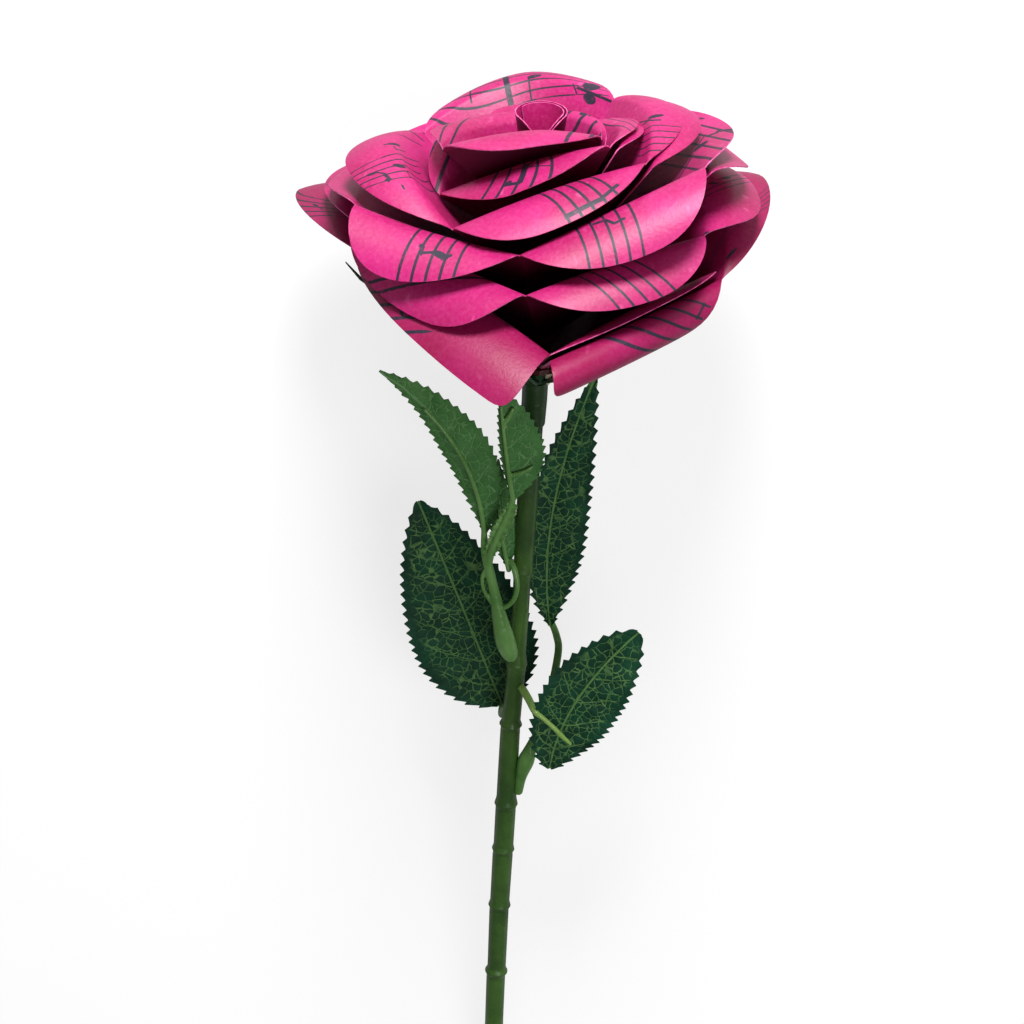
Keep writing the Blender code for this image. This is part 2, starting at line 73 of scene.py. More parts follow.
# The sheets, outermost first. Cuts are (direction in degrees, distance from the axis, height).
SHEETS = {
    "layer_1": dict(
        neck=(3.9, -60.0),
        cuts=[(-87, 40.0, -39.0), (-15, 41.0, -34.5), (55, 40.0, -38.0), (122, 40.0, -37.0),
              (183, 40.0, -33.0), (273, 39.0, -39.0), (345, 40.0, -33.7)],
        lobes=[lobe(up=0.5, out=1.2, crease=0, curl=3.7, lip=11.0, near=10, far=7, skew=-38),
               lobe(up=12.5, out=7.5, crease=30, curl=20, lip=12.5),
               lobe(up=6.0, out=-2.0, lip=21, near=7, far=7),
               lobe(up=5.0, out=7.0, crease=32, curl=40, lip=20, near=1.1, far=1.5),
               lobe(up=3.5, out=0.5, crease=42, curl=17, lip=19.0, peak=0.78, near=1.9, far=5, skew=16),
               lobe(up=1.5, out=1.0, crease=0, curl=4.6, lip=4.5, near=2, far=3)]),
    "layer_2": dict(
        neck=(3.8, -53.0),
        cuts=[(48, 38.0, -26.0), (118, 37.0, -26.0), (186, 40.0, -25.0), (264.5, 34.0, -27.2),
              (335, 39.0, -21.8), (408, 37.2, -25.2), (478, 36.2, -25.2)],
        lobes=[lobe(up=2, out=5, lip=14), lobe(up=1.5, out=7.5, crease=30, curl=20, lip=12),
               lobe(lip=16, peak=0.62),
               lobe(up=1, out=0.5, lip=13, peak=0.55),
               lobe(up=5, out=3.0, crease=38, curl=17.5, lip=15.5, peak=0.42, near=3),
               lobe(up=2.8, out=5, lip=12)]),
    "layer_3": dict(
        neck=(3.7, -46.0),
        cuts=[(-24.5, 39.5, -6.6), (45, 35.0, -14.0), (117, 34.0, -16.0), (196, 41.5, -16.8),
              (261, 29.0, -20.5), (335.5, 39.0, -5.8), (405, 34.2, -13.2)],
        lobes=[lobe(up=-2, out=3, crease=42, curl=16, lip=12), lobe(up=1, out=5, lip=12),
               lobe(up=-3.5, out=7, crease=35, curl=18, lip=11),
               lobe(up=-1, out=0, lip=15, peak=0.36, near=2.6, far=1.5),
               lobe(lip=15, peak=0.6),
               lobe(up=-1, out=2.6, crease=20, curl=30, lip=10.5)]),
    "layer_4": dict(
        neck=(3.6, -39.0),
        cuts=[(-26.5, 26.2, -7.9), (50, 26.0, -7.0), (143, 32.0, -14.0), (228.5, 28.5, -17.8),
              (333.5, 25.6, -7.1), (410, 25.4, -6.2)],
        lobes=[lobe(up=4, out=5.5, lip=10), lobe(up=3.2, out=11.5, lip=10, near=6, rise_peak=0.42),
               lobe(up=7, out=8.5, crease=40, curl=16, lip=12.5),
               lobe(up=1.5, out=0.5, lip=13.5, peak=0.42),
               lobe(up=3.5, out=4.2, lip=8)]),
    "layer_5": dict(
        neck=(3.4, -32.0),
        cuts=[(-36, 19.6, -4.0), (52, 16.5, -9.8), (128, 19.5, -9.0), (194, 22.4, -17.6),
              (324, 18.9, -3.3), (412, 15.9, -9.2)],
        lobes=[lobe(up=1.5, out=4.2, lip=5.5), lobe(out=4, lip=5.5),
               lobe(up=3, out=1, lip=6),
               lobe(up=1.5, out=0.3, curl=10, lip=12, peak=0.45, near=1.6),
               lobe(up=2.0, out=4.6, lip=5)]),
    "layer_6": dict(
        neck=(3.0, -26.0),
        cuts=[(-20, 14.8, -5.0), (88, 12.4, -7.4), (203, 22.9, -4.6), (340, 14.4, -4.2), (448, 11.9, -6.6)],
        lobes=[lobe(up=1.0, out=2.6, curl=10, lip=3), lobe(out=6, curl=10, lip=7),
               lobe(up=3.0, out=1.5, curl=10, lip=9.5, rise_peak=0.55),
               lobe(up=1.2, out=2.3, curl=10, lip=2.5)]),
}


def stave(a, b, direction, gap, width=0.12, spread=0.0, bend=0.0, reach=99.0, low=-2, high=2):
    """Five ruled lines on a lobe. They run in a direction through the flat place (a, b), a gap in mm apart.

    width is a line's half width as a share of the gap. The lines fan out by spread and curve by bend, end at
    reach gaps on both sides, and only those from low to high are drawn.
    """
    return dict(a=a, b=b, direction=direction, gap=gap, width=width, spread=spread, bend=bend, reach=reach,
                low=low, high=high)


# The staves of each sheet, by lobe. a runs along the lobe from its first cut, b from the crease to its
# free edge.
STAVES = {
    "layer_1": {
        0: stave(24.8, 1.6, -117, 4.81, 0.10, -0.20, -0.24, reach=2.3),
        1: stave(13.9, 9.4, -128, 0.82, 0.10, 0.02, -0.01),
        3: stave(30.3, 11.7, 92, 1.63, 0.12, -0.10, -0.02, reach=7),
        4: stave(20.5, 11.7, 157, 3.51, 0.12, 0.0, -0.01, reach=2.9)},
    "layer_2": {
        1: stave(29.8, 9.1, 115, 0.80, 0.14, -0.02),
        2: stave(17.3, 9.8, 147, 2.79, 0.14, 0.01, low=-1, high=0),
        3: stave(21.3, 8.6, -115, 2.92, 0.10, 0.05, 0.02),
        4: stave(18.9, 11.9, -137, 1.56, 0.09, -0.03, -0.02, reach=9, low=0)},
    "layer_3": {
        3: stave(22.0, 6.5, -93, 3.04, 0.11, 0.02, -0.02),
        4: stave(18.9, 8.6, -79, 3.07, 0.10, -0.01, 0.04),
        5: stave(15.8, 2.3, -14, 3.25, 0.11, 0.02)},
    "layer_4": {
        1: stave(22.5, -0.1, 2, 2.65, 0.09, -0.07, -0.05, reach=8),
        2: stave(26.2, 2.2, 77, 1.75, 0.10, 0.05, -0.04, reach=6),
        3: stave(28.0, 7.8, -109, 2.94, 0.12, 0.05, 0.04),
        4: stave(5.6, 4.4, -86, 1.85, 0.09, -0.01, -0.11, reach=6)},
    "layer_5": {
        2: stave(17.3, 5.8, -178, 4.63, 0.09, low=0, high=1),
        3: stave(21.1, 6.0, -86, 3.53, 0.11, 0.09, 0.21, reach=2.2),
        4: stave(10.1, 2.9, -16, 1.59, 0.08, -0.05, -0.03, reach=10, low=-1, high=1)},
    "layer_6": {
        1: stave(14.5, 6.2, 148, 2.81, 0.09, 0.04, 0.04, reach=6, low=0, high=1),
        2: stave(34.0, -0.2, -69, 4.06, 0.10, low=-1, high=0),
        3: stave(10.5, 1.9, 98, 4.81, 0.11, -0.03, 0.12, reach=1.5)},
}

# Notes, beams and strokes of each sheet, by lobe: (kind, place along the stave, place across it, half length,
# half width, angle), all in gaps
MARKS = {
    "layer_1": {
        0: [("bar", -1.97, 1.49, 0.62, 0.06, -94)],
        1: [("oval", 15.1, -7.63, 1.75, 0.52, 170)],
        3: [("oval", 0.18, 0.42, 0.49, 0.2, -160), ("bar", -0.57, -0.05, 0.77, 0.1, -145)],
        4: [("bar", -0.61, -0.16, 0.94, 0.1, -118), ("bar", 1.33, 1.49, 0.8, 0.12, -118)]},
    "layer_2": {
        1: [("oval", 7.15, 0.81, 1.19, 0.48, 134)],
        2: [("oval", -9.09, -0.57, 0.62, 0.5, 151)],
        4: [("oval", 4.49, 1.58, 0.59, 0.23, -163), ("oval", 1.68, 1.89, 0.88, 0.31, -179),
            ("bar", 12.42, -5.79, 1.33, 0.09, 175), ("bar", 14.2, -5.76, 0.87, 0.3, 167),
            ("bar", 13.87, -6.59, 0.37, 0.3, -170)]},
    "layer_3": {
        3: [("bar", 0.31, -1.13, 0.14, 0.15, 88), ("bar", -0.06, -0.95, 0.38, 0.16, 175),
            ("bar", -0.05, -0.32, 0.59, 0.11, 72), ("oval", -0.05, 0.51, 0.66, 0.26, 104),
            ("bar", -0.12, 1.02, 0.41, 0.12, 49)],
        4: [("bar", 1.75, -0.39, 0.48, 0.12, 90), ("bar", 1.47, 0.3, 0.35, 0.12, 142),
            ("bar", 1.29, 0.93, 0.43, 0.1, 77)],
        5: [("oval", -0.09, -0.04, 0.58, 0.29, 96), ("oval", 0.48, 1.32, 0.41, 0.16, 125),
            ("bar", 0.04, 2.04, 0.63, 0.2, 151), ("oval", 3.87, 2.71, 0.4, 0.14, 158),
            ("bar", 0.76, 0.56, 0.49, 0.06, -126), ("bar", -0.58, -1.94, 1.14, 0.09, -108)]},
    "layer_4": {
        1: [("bar", -0.24, 0.37, 2.06, 0.24, -95), ("oval", -2.62, 0.48, 0.57, 0.28, 163),
            ("bar", -2.17, -0.92, 1.22, 0.07, -91), ("bar", -7.21, -2.09, 1.55, 0.16, -147),
            ("oval", -6.9, -0.6, 0.95, 0.55, 105), ("oval", -6.68, -2.49, 0.61, 0.42, -101),
            ("bar", -5.69, -1.33, 0.58, 0.06, -100), ("oval", 2.6, 1.6, 0.6, 0.36, 160),
            ("bar", 3.1, 0.5, 1.1, 0.08, -92)],
        2: [("oval", -0.21, -0.09, 0.74, 0.33, -157), ("oval", 3.47, -0.09, 0.56, 0.22, -175),
            ("bar", 2.53, -0.48, 0.56, 0.13, -138), ("bar", 2.25, -1.33, 0.46, 0.22, -89),
            ("bar", 2.43, -1.9, 0.38, 0.25, -31), ("oval", -1.72, 4.17, 0.89, 0.27, -162),
            ("bar", -0.84, 4.51, 0.47, 0.13, -177), ("bar", -1.57, 3.17, 0.43, 0.1, -100),
            ("bar", -2.57, 3.03, 0.92, 0.08, 168), ("bar", -0.46, -1.46, 0.43, 0.07, -76),
            ("bar", 1.75, -3.47, 0.39, 0.12, -73), ("bar", -3.25, 12.51, 2.68, 0.09, -118),
            ("bar", -0.18, 16.32, 1.23, 0.09, -124), ("bar", -3.89, 9.03, 1.89, 0.09, -136),
            ("bar", -4.03, 6.68, 1.59, 0.09, -159)],
        3: [("bar", -0.92, -0.52, 1.58, 0.18, 99), ("bar", -0.97, 1.71, 0.88, 0.14, 80)],
        4: [("oval", 1.7, 3.83, 0.97, 0.31, 163), ("bar", 3.03, 3.44, 1.04, 0.13, -156),
            ("bar", 1.66, 3.0, 0.52, 0.13, -179), ("bar", 3.26, 3.17, 0.54, 0.1, 166)]},
    "layer_5": {
        3: [("bar", 0.1, 0.14, 1.83, 0.05, 101), ("oval", -0.9, -0.74, 0.23, 0.17, 82),
            ("bar", -1.06, -0.21, 0.4, 0.09, 99), ("bar", -0.29, 0.19, 0.83, 0.12, 0),
            ("bar", 0.92, 0.75, 0.81, 0.12, 35)]},
    "layer_6": {
        2: [("bar", 0.37, -1.45, 0.25, 0.16, 136), ("bar", 0.22, -1.14, 0.17, 0.11, 77)],
        3: [("oval", 0.06, -0.2, 0.19, 0.13, 51), ("bar", 0.23, -0.58, 0.56, 0.14, 105),
            ("bar", 0.37, 0.46, 0.36, 0.16, 60)]},
    "roll": {},
}

# Centre roll
ROLL_TURNS = 1.6
ROLL_BOTTOM = (2.2, -21.0)
ROLL_TOP = (5.9, 0.5)
ROLL_NOTCH = 3.4
ROLL_START = -math.pi / 2 + 0.35
# How much closer to the axis the strip comes with each turn
ROLL_SHRINK = 0.75
ROLL_COLUMNS = 150
ROLL_ROWS = 22

# Stem line: (x, height, radius)
STEM_LINE = [
    (-0.9, -65.0, 2.9), (-1.1, -70.0, 2.85), (-1.5, -75.6, 2.8), (-1.6, -76.2, 2.45),
    (-2.2, -88.0, 2.4), (-2.9, -101.0, 2.35), (-3.5, -112.0, 2.2), (-3.7, -114.5, 2.45),
    (-3.8, -116.5, 2.0), (-4.1, -124.0, 1.95), (-4.9, -136.0, 2.0), (-5.1, -139.5, 2.5),
    (-5.2, -141.5, 2.15), (-5.9, -150.0, 2.15), (-6.3, -154.6, 2.2), (-6.4, -155.8, 2.6),
    (-6.5, -157.0, 2.3), (-7.4, -176.0, 2.35), (-7.5, -178.0, 2.7), (-7.6, -179.4, 2.4),
    (-8.1, -189.5, 2.35), (-8.2, -190.8, 2.6), (-8.3, -192.0, 2.4), (-9.0, -205.5, 2.3),
    (-9.1, -207.0, 2.6), (-9.2, -208.4, 2.3), (-9.8, -225.0, 2.2), (-9.9, -226.3, 2.75),
    (-10.0, -227.6, 2.25), (-10.4, -240.0, 2.2), (-11.2, -268.0, 2.3), (-11.3, -269.3, 2.6),
    (-11.4, -270.6, 2.25), (-12.2, -296.0, 2.2)]

# Leaf blades
BLADE_THICK = 0.4
# Mesh steps for each tooth and across each half
TOOTH_STEPS = 6
HALF_STEPS = 10
# Teeth take up this outer share of a half
TOOTH_ZONE = 0.4
# Ripples, and the groove along the midrib
BLADE_WAVE = 0.3
BLADE_QUILT = 0.16
GROOVE_DEEP = 0.28
GROOVE_WIDE = 0.8
LEAVES = {
    "leaf_upper_left": dict(spine=[(-12.2, -3.0, -103.0), (-13.2, -4.0, -77.0), (-35.5, -4.0, -60.2)],
                            facing=(0.15, 1.0, 0.15), widths=(7.0, 4.8), teeth=21),
    "leaf_middle": dict(spine=[(-5.7, -6.5, -92.0), (-7.6, -7.5, -78.0), (-8.6, -7.0, -64.5)],
                        facing=(0.1, 1.0, 0.1), widths=(8.6, 1.9), teeth=15, blunt=0.6),
    "leaf_back": dict(spine=[(-6.8, -0.8, -113.2), (-9.4, -0.6, -101.0), (-9.2, 0.0, -85.0)],
                      facing=(0.0, 1.0, 0.0), widths=(4.0, 2.8), teeth=12),
    "leaf_big_left": dict(spine=[(-8.4, 7.5, -155.5), (-17.0, 8.0, -130.0), (-27.5, 8.0, -100.6)],
                          facing=(0.0, -1.0, 0.1), widths=(14.6, 14.6), peak=0.36, teeth=24,
                          bite=1.1, blunt=0.66, full=0.55),
    "leaf_tall_right": dict(spine=[(2.8, 5.0, -132.4), (-1.2, 5.0, -103.0), (12.8, 5.0, -66.5)],
                            facing=(0.1, -1.0, 0.05), widths=(6.4, 8.6), teeth=24, bite=1.0,
                            blunt=0.7),
    "leaf_small_right": dict(spine=[(2.6, -9.0, -162.5), (5.0, -9.5, -143.0), (22.8, -9.0, -125.3)],
                             facing=(0.1, -1.0, 0.2), widths=(9.4, 10.4), peak=0.52, teeth=19,
                             bite=1.1, blunt=0.5, full=0.6),
}
# These show their paler back to the front
BACK_SHOWING = ("leaf_upper_left", "leaf_middle")

# Ribs run along a blade's back, from its foot to this share of its length
RIB_REACH = {"leaf_upper_left": 0.74, "leaf_middle": 0.9, "leaf_back": 0.6, "leaf_tall_right": 0.8,
             "leaf_big_left": 0.8}
RIB_RADIUS = 0.6
RIB_TIP = 0.3
RIB_SEAT = 0.3
RIB_POINTS = 8

# Rods: sides, and how far out and how wide their end caps are, in radii
ROD_SIDES = 16
ROD_CAP = 0.5
ROD_END = 0.6
# The cell size and the rounds of smoothing that melt rods into one skin
MELT_SIZE = 0.17
SOFTEN_STEPS = 5

# Moulded branches: rods of (x, y, z, radius), and the leaves whose ribs they carry
BRANCHES = {
    "branch_left": dict(
        rods=[[(-5.9, -2.35, -135.4, 1.5), (-6.6, -3.0, -134.6, 2.0), (-7.7, -3.9, -130.5, 2.35),
               (-8.9, -4.0, -124.5, 1.8), (-10.0, -3.8, -118.5, 1.25), (-11.2, -3.7, -112.5, 1.15),
               (-12.2, -3.9, -107.0, 0.95), (-12.4, -4.1, -101.8, 0.7)],
              [(-11.6, -3.8, -110.5, 1.0), (-10.2, -5.6, -104.0, 0.8), (-7.4, -7.2, -96.0, 0.7),
               (-5.9, -7.6, -91.0, 0.65)],
              [(-10.0, -4.0, -120.8, 0.7), (-7.8, -4.6, -121.3, 0.6), (-5.7, -4.7, -119.1, 0.6),
               (-4.9, -4.5, -115.6, 0.62), (-5.6, -3.4, -111.9, 0.7), (-6.4, -1.9, -110.4, 0.6)],
              [(-11.3, -3.8, -110.5, 0.5), (-12.8, -4.0, -113.4, 0.45), (-12.5, -4.0, -117.0, 0.45),
               (-10.8, -4.0, -120.4, 0.5)],
              [(-7.6, -7.9, -72.6, 0.55), (-7.9, -8.1, -71.6, 0.6), (-7.0, -8.1, -70.2, 0.6),
               (-5.8, -7.8, -68.0, 0.45)],
              [(-6.6, -7.8, -84.8, 0.5), (-5.6, -7.9, -84.7, 0.55), (-3.2, -7.7, -83.9, 0.5),
               (-1.4, -7.4, -82.8, 0.35)]],
        ribs=["leaf_upper_left", "leaf_middle", "leaf_back"]),
    "branch_right": dict(
        rods=[[(-4.6, -0.95, -174.2, 1.0), (-4.0, -1.3, -169.6, 1.35), (-2.9, -1.6, -165.2, 1.95),
               (-2.1, -1.6, -162.6, 1.6), (-1.3, -1.4, -159.8, 1.0), (0.4, -0.9, -156.4, 0.95),
               (2.8, 1.2, -148.0, 0.95), (4.6, 4.4, -139.0, 0.9), (4.2, 6.0, -135.4, 0.85),
               (2.9, 6.15, -131.5, 0.75)]],
        ribs=["leaf_tall_right"]),
    "petiole_left": dict(
        rods=[[(-7.4, 2.7, -153.2, 1.0), (-7.7, 3.5, -153.5, 1.0), (-8.4, 6.0, -157.0, 0.9),
               (-8.6, 8.4, -157.6, 0.8), (-8.5, 9.1, -156.5, 0.7), (-8.4, 8.7, -153.6, 0.65)]],
        ribs=["leaf_big_left"]),
    "petiole_right": dict(
        rods=[[(-4.0, -1.9, -144.6, 0.9), (-3.3, -3.4, -144.8, 0.95), (-2.0, -7.0, -145.2, 0.9),
               (-0.9, -10.6, -145.6, 0.75), (1.2, -11.6, -147.0, 0.6), (3.8, -11.9, -149.6, 0.6),
               (5.0, -11.8, -151.2, 0.62), (7.4, -11.6, -153.9, 0.4)]],
        ribs=[]),
}

# The ruffled wing along the middle leaf's stalk: (x, y, z, half width)
RUFFLE = [(-11.7, -4.6, -108.4, 0.9), (-10.4, -5.9, -104.4, 1.5), (-8.9, -7.0, -100.0, 1.7),
          (-7.3, -7.8, -96.0, 1.6), (-5.9, -8.1, -92.2, 1.1)]
RUFFLE_WAVE = 0.45
RUFFLE_BEAT = 2.1
RUFFLE_THICK = 0.25
RUFFLE_STEPS = 8

# Glue that ran out beside the tube: place, half sizes
GLUE_RUN = dict(place=(1.9, -2.1, -62.6), sizes=(0.75, 0.7, 2.5))
GLUE_COLUMNS = 32
GLUE_ROWS = 20

# Heights of the stem's sleeve ends
SLEEVES = (-114.5, -139.5, -155.8, -178.0, -190.8, -207.0, -226.3, -269.3)
SLEEVE_STEP = 0.22
# Under a sleeve's end the stem is thinner over this length, and just above it there is a lip
SLEEVE_LENGTH = 1.6
SLEEVE_EDGE = 0.5
SLEEVE_LIP = 0.08
SLEEVE_LIP_LENGTH = 1.2
STEM_STEPS = 700
STEM_SIDES = 40

# Paper looks
PAPER_PINK = (0.62, 0.014, 0.200)
PAPER_DEEP = (0.43, 0.007, 0.105)
# Painted shade: the dark colour that the lower sheets are mixed toward
PAPER_LOW_SHADE = (0.17, 0.0, 0.018)
# Painted shade: how much darker the paper of the lower sheets is, on the side that shows, where less light
# falls on them
LOW_SHEET_SHADE = {"layer_1": 0.55, "layer_2": 0.12}
INK = (0.017, 0.022, 0.042)
CUT_EDGE = (1.0, 0.22, 0.52)
# Painted shade: the near-black colour that the sheets turn to deep in the gaps
PAINTED_GAP_SHADE = (0.055, 0.0, 0.010)
# Noise scales of its clouds, fibres, specks and worn ink
CLOUD_SCALE = 60.0
FIBRE_SCALE = 1100.0
SPECK_SCALE = 420.0
WEAR_SCALE = 900.0
# How much fibres and specks lighten the sheet
FIBRE_SHARE = 0.14
SPECK_SHARE = 0.25
PAPER_ROUGH = 0.42
INK_ROUGH = 0.46
PAPER_GLOSS = 0.42
# Painted shade: each side darkens into the gaps between these distances from the crease, and by these shares;
# the lower side also darkens under the lips
TOP_PAINTED_SHADE = (-18.0, -4.0)
UNDER_PAINTED_SHADE = (-1.0, 3.0)
GAP_SHADE_SHARE = 0.95
OUTER_SHADE_SHARE = 0.45
LIP_SHADE_SHARE = 0.12

# Leaf looks
LEAF_DARK = (0.002, 0.030, 0.014)
LEAF_MID = (0.006, 0.068, 0.030)
LEAF_VEIN = (0.13, 0.28, 0.085)
BACK_DARK = (0.042, 0.158, 0.036)
BACK_MID = (0.078, 0.23, 0.062)
BACK_VEIN = (0.15, 0.34, 0.12)
# Distance between side veins, how far they stray, and the scale of the net between them
VEIN_STEP = 7.2
VEIN_STRAY = 1.7
NET_SCALE = 0.54
LEAF_ROUGH = 0.58
LEAF_GLOSS = 0.22

# Looks of the moulded parts. Pairs are (dark, light).
STEM_DARK = (0.030, 0.085, 0.014)
STEM_LIGHT = (0.078, 0.178, 0.030)
TUBE_GREEN = (0.014, 0.042, 0.010)
# The stem darkens toward the flower between these heights
TOP_SHADE = (-112.0, -84.0)
BRANCH_GREENS = ((0.08, 0.22, 0.04), (0.18, 0.38, 0.11))
STALK_GREENS = ((0.20, 0.36, 0.07), (0.28, 0.46, 0.12))
CALYX_GREENS = ((0.006, 0.030, 0.008), (0.014, 0.055, 0.014))
GLUE_CREAMS = ((0.62, 0.56, 0.40), (0.78, 0.72, 0.56))
# The glue core: dark maroon from the paper's dye, and darker still as painted shade of the gaps around it
GLUE_STAIN_SHADES = ((0.05, 0.008, 0.010), (0.09, 0.020, 0.018))
PLASTIC_GLOSS = 0.4

# The photo's camera, in the design frame. Its focal length is in pixels of a photo this wide.
CAMERA_TARGET = (-6.1, 0.0, -98.9)
CAMERA_DISTANCE = 1000.0
CAMERA_TILT = 30.0
CAMERA_FOCUS = 4420.0
PHOTO_WIDTH = 1024.0
SENSOR_WIDTH = 36.0

# Lamps: (name, place, aim, width in m, watts)
LAMPS = [("key", (25, -235, 690), (0, 0, -40), 0.26, 7.6),
         ("fill", (260, -650, -20), (0, 0, -130), 0.5, 1.9)]
WORLD_STRENGTH = 0.18

# Floor: sizes in m, its grey under the lamps, and its grey and glow as the camera sees it
FLOOR_HALF = 4.0
FLOOR_DROP = 0.0002
FLOOR_LIT = (0.6, 0.6, 0.6)
FLOOR_SEEN = (0.30, 0.30, 0.30)
FLOOR_GLOW = 0.76


# Placing

def design_place():
    """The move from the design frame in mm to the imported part's frame in m."""
    lie = Matrix.Rotation(math.radians(-90), 4, "X")
    roll = Matrix.Rotation(math.radians(REST_ROLL), 4, "Y")
    pitch = Matrix.Rotation(math.radians(REST_PITCH), 4, "X")
    turn = pitch @ roll @ lie
    before, end = (Vector((x, 0.0, z)) for x, z, r in STEM_LINE[-2:])
    along = (turn.to_3x3() @ (end - before)).normalized()
    points = [v.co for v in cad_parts["stem"].data.vertices]
    far = max(p.dot(along) for p in points)
    ring = {tuple(round(c, 6) for c in p) for p in points if p.dot(along) > far - 0.0001}
    centre = Vector([sum(p[k] for p in ring) / len(ring) for k in range(3)])
    move = centre - (turn @ end) * MM
    return Matrix.Translation(move) @ turn @ Matrix.Scale(MM, 4)


PLACE = design_place()


def new_object(name, data):
    """A new object in the scene."""
    obj = bpy.data.objects.new(name, data)
    bpy.context.scene.collection.objects.link(obj)
    return obj


def add_mesh(name, points, faces, node):
    """A visual mesh from design points. Where a node is given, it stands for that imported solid."""
    mesh = bpy.data.meshes.new(name)
    placed = [PLACE @ Vector(p) for p in points]
    mesh.from_pydata(placed, [], faces)
    obj = new_object(name, mesh)
    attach(obj, "root")
    if node:
        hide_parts(node)
    return obj


def smooth(obj, angle=38.0):
    """Smooth shading with sharp edges past an angle."""
    obj.data.shade_smooth()
    obj.data.set_sharp_from_angle(angle=math.radians(angle))


def apply_modifiers(obj):
    """Replace the mesh by its evaluated form."""
    graph = bpy.context.evaluated_depsgraph_get()
    evaluated = obj.evaluated_get(graph)
    mesh = bpy.data.meshes.new_from_object(evaluated, preserve_all_data_layers=True, depsgraph=graph)
    old = obj.data
    obj.modifiers.clear()
    obj.data = mesh
    mesh.name = old.name
    bpy.data.meshes.remove(old)


def grid_faces(columns, rows, flip=False):
    """Quads between columns + 1 lines of rows + 1 points each. flip turns them over."""
    faces = []
    for j in range(columns):
        for k in range(rows):
            a = j * (rows + 1) + k
            b = a + rows + 1
            faces.append((a, a + 1, b + 1, b) if flip else (a, b, b + 1, a + 1))
    return faces


def set_uv(mesh, name, values):
    """Write a UV layer from one pair of numbers for each face corner."""
    mesh.uv_layers.new(name=name).uv.foreach_set("vector", np.array(values, np.float32).ravel())


def thicken(obj, thickness, materials, angle=38.0):
    """Give a flat sheet its thickness. Its materials are for one side, the other side and the cut edge."""
    for material in materials:
        obj.data.materials.append(material)
    solid = obj.modifiers.new("thickness", "SOLIDIFY")
    solid.thickness = thickness * MM
    solid.offset = 0.0
    solid.material_offset = 1 if len(materials) > 1 else 0
    solid.material_offset_rim = 2 if len(materials) > 2 else 0
    apply_modifiers(obj)
    smooth(obj, angle)


# Paper geometry

def from_peak(peak, s):
    """How far share s of a lobe is from a peak: 0 at the peak, 1 at the lobe's ends."""
    return (peak - s) / peak if s < peak else (s - peak) / (1.0 - peak)


def lip_length(spec, s):
    """How far the lip reaches past the crease at share s of a lobe."""
    if s <= 0.0 or s >= 1.0:
        return 0.0
    power = spec["near"] if s < spec["peak"] else spec["far"]
    return spec["lip"] * max(0.0, 1.0 - from_peak(spec["peak"], s) ** power) ** LIP_POWER


def rise(spec, s):
    """The share of a lobe's rise at share s, 1 at its peak."""
    return max(0.0, 1.0 - from_peak(spec["rise_peak"], s) ** RISE_POWER)


def polar(turn, distance, height):
    """A point from its direction in degrees, distance from the axis and height."""
    angle = math.radians(turn)
    return Vector((distance * math.cos(angle), distance * math.sin(angle), height))


def root_point(cut_a, cut_b, spec, s):
    """A point on a lobe's crease line."""
    a = polar(*cut_a)
    b = polar(*cut_b)
    middle = (a + b) / 2
    outward = Vector((middle.x, middle.y, 0.0)).normalized()
    return a.lerp(b, s) + (outward * spec["out"] + Vector((0, 0, spec["up"]))) * rise(spec, s)


def lobe_grid(neck, cut_a, cut_b, spec, index):
    """Points of one lobe from the neck to the free edge, each with its flat place (a, b) on the paper."""
    across = polar(*cut_b) - polar(*cut_a)
    span = across.length
    chord = across.normalized()
    slant = math.tan(math.radians(spec["skew"]))
    grid = []
    for j in range(LOBE_COLUMNS + 1):
        s = 0.5 - 0.5 * math.cos(math.pi * j / LOBE_COLUMNS)
        root = root_point(cut_a, cut_b, spec, s)
        turn = math.degrees(math.atan2(root.y, root.x))
        foot = polar(turn, *neck)
        wall = root - foot
        inward = -polar(turn, 1.0, 0.0)
        tall = wall.normalized()
        shift = (inward * tall.z + Vector((0, 0, 1)) * abs(tall.dot(inward))) * SEAM_DRIFT * (index + s)
        reach = wall.length
        column = []
        for k in range(WALL_ROWS + 1):
            t = (k / WALL_ROWS) ** 0.7
            narrow = 0.1 + 0.9 * t
            column.append((foot.lerp(root, t) + shift, span * (0.5 + (s - 0.5) * narrow), (t - 1.0) * reach))
        length = lip_length(spec, s)
        along = (tall - chord * tall.dot(chord)).normalized()
        under = chord.cross(along)
        if under.z > 0:
            under = -under
        stride = length / (LIP_ROWS * LIP_STEPS)
        place = root + shift
        for k in range(1, LIP_ROWS * LIP_STEPS + 1):
            arc = stride * (k - 0.5)
            angle = math.radians(spec["crease"]) * (1.0 - math.exp(-arc / CREASE_RUN)) + arc / spec["curl"]
            place = place + (along * math.cos(angle) + under * math.sin(angle) + chord * slant) * stride
            if k % LIP_STEPS == 0:
                column.append((place, span * s + slant * arc, arc))
        grid.append(column)
    return grid


def stave_place(spec, a, b):
    """Place on the stave in gaps, along it and across it, and the half width that the lines have there."""
    angle = math.radians(spec["direction"])
    c = math.cos(angle)
    d = math.sin(angle)
    u = ((a - spec["a"]) * c + (b - spec["b"]) * d) / spec["gap"]
    v = (-(a - spec["a"]) * d + (b - spec["b"]) * c) / spec["gap"]
    v = v * (1.0 + spec["spread"] * u) + spec["bend"] * u * u
    drawn = abs(u) <= spec["reach"] and spec["low"] - 0.5 <= v <= spec["high"] + 0.5
    return u, v, spec["width"] if drawn else 0.0


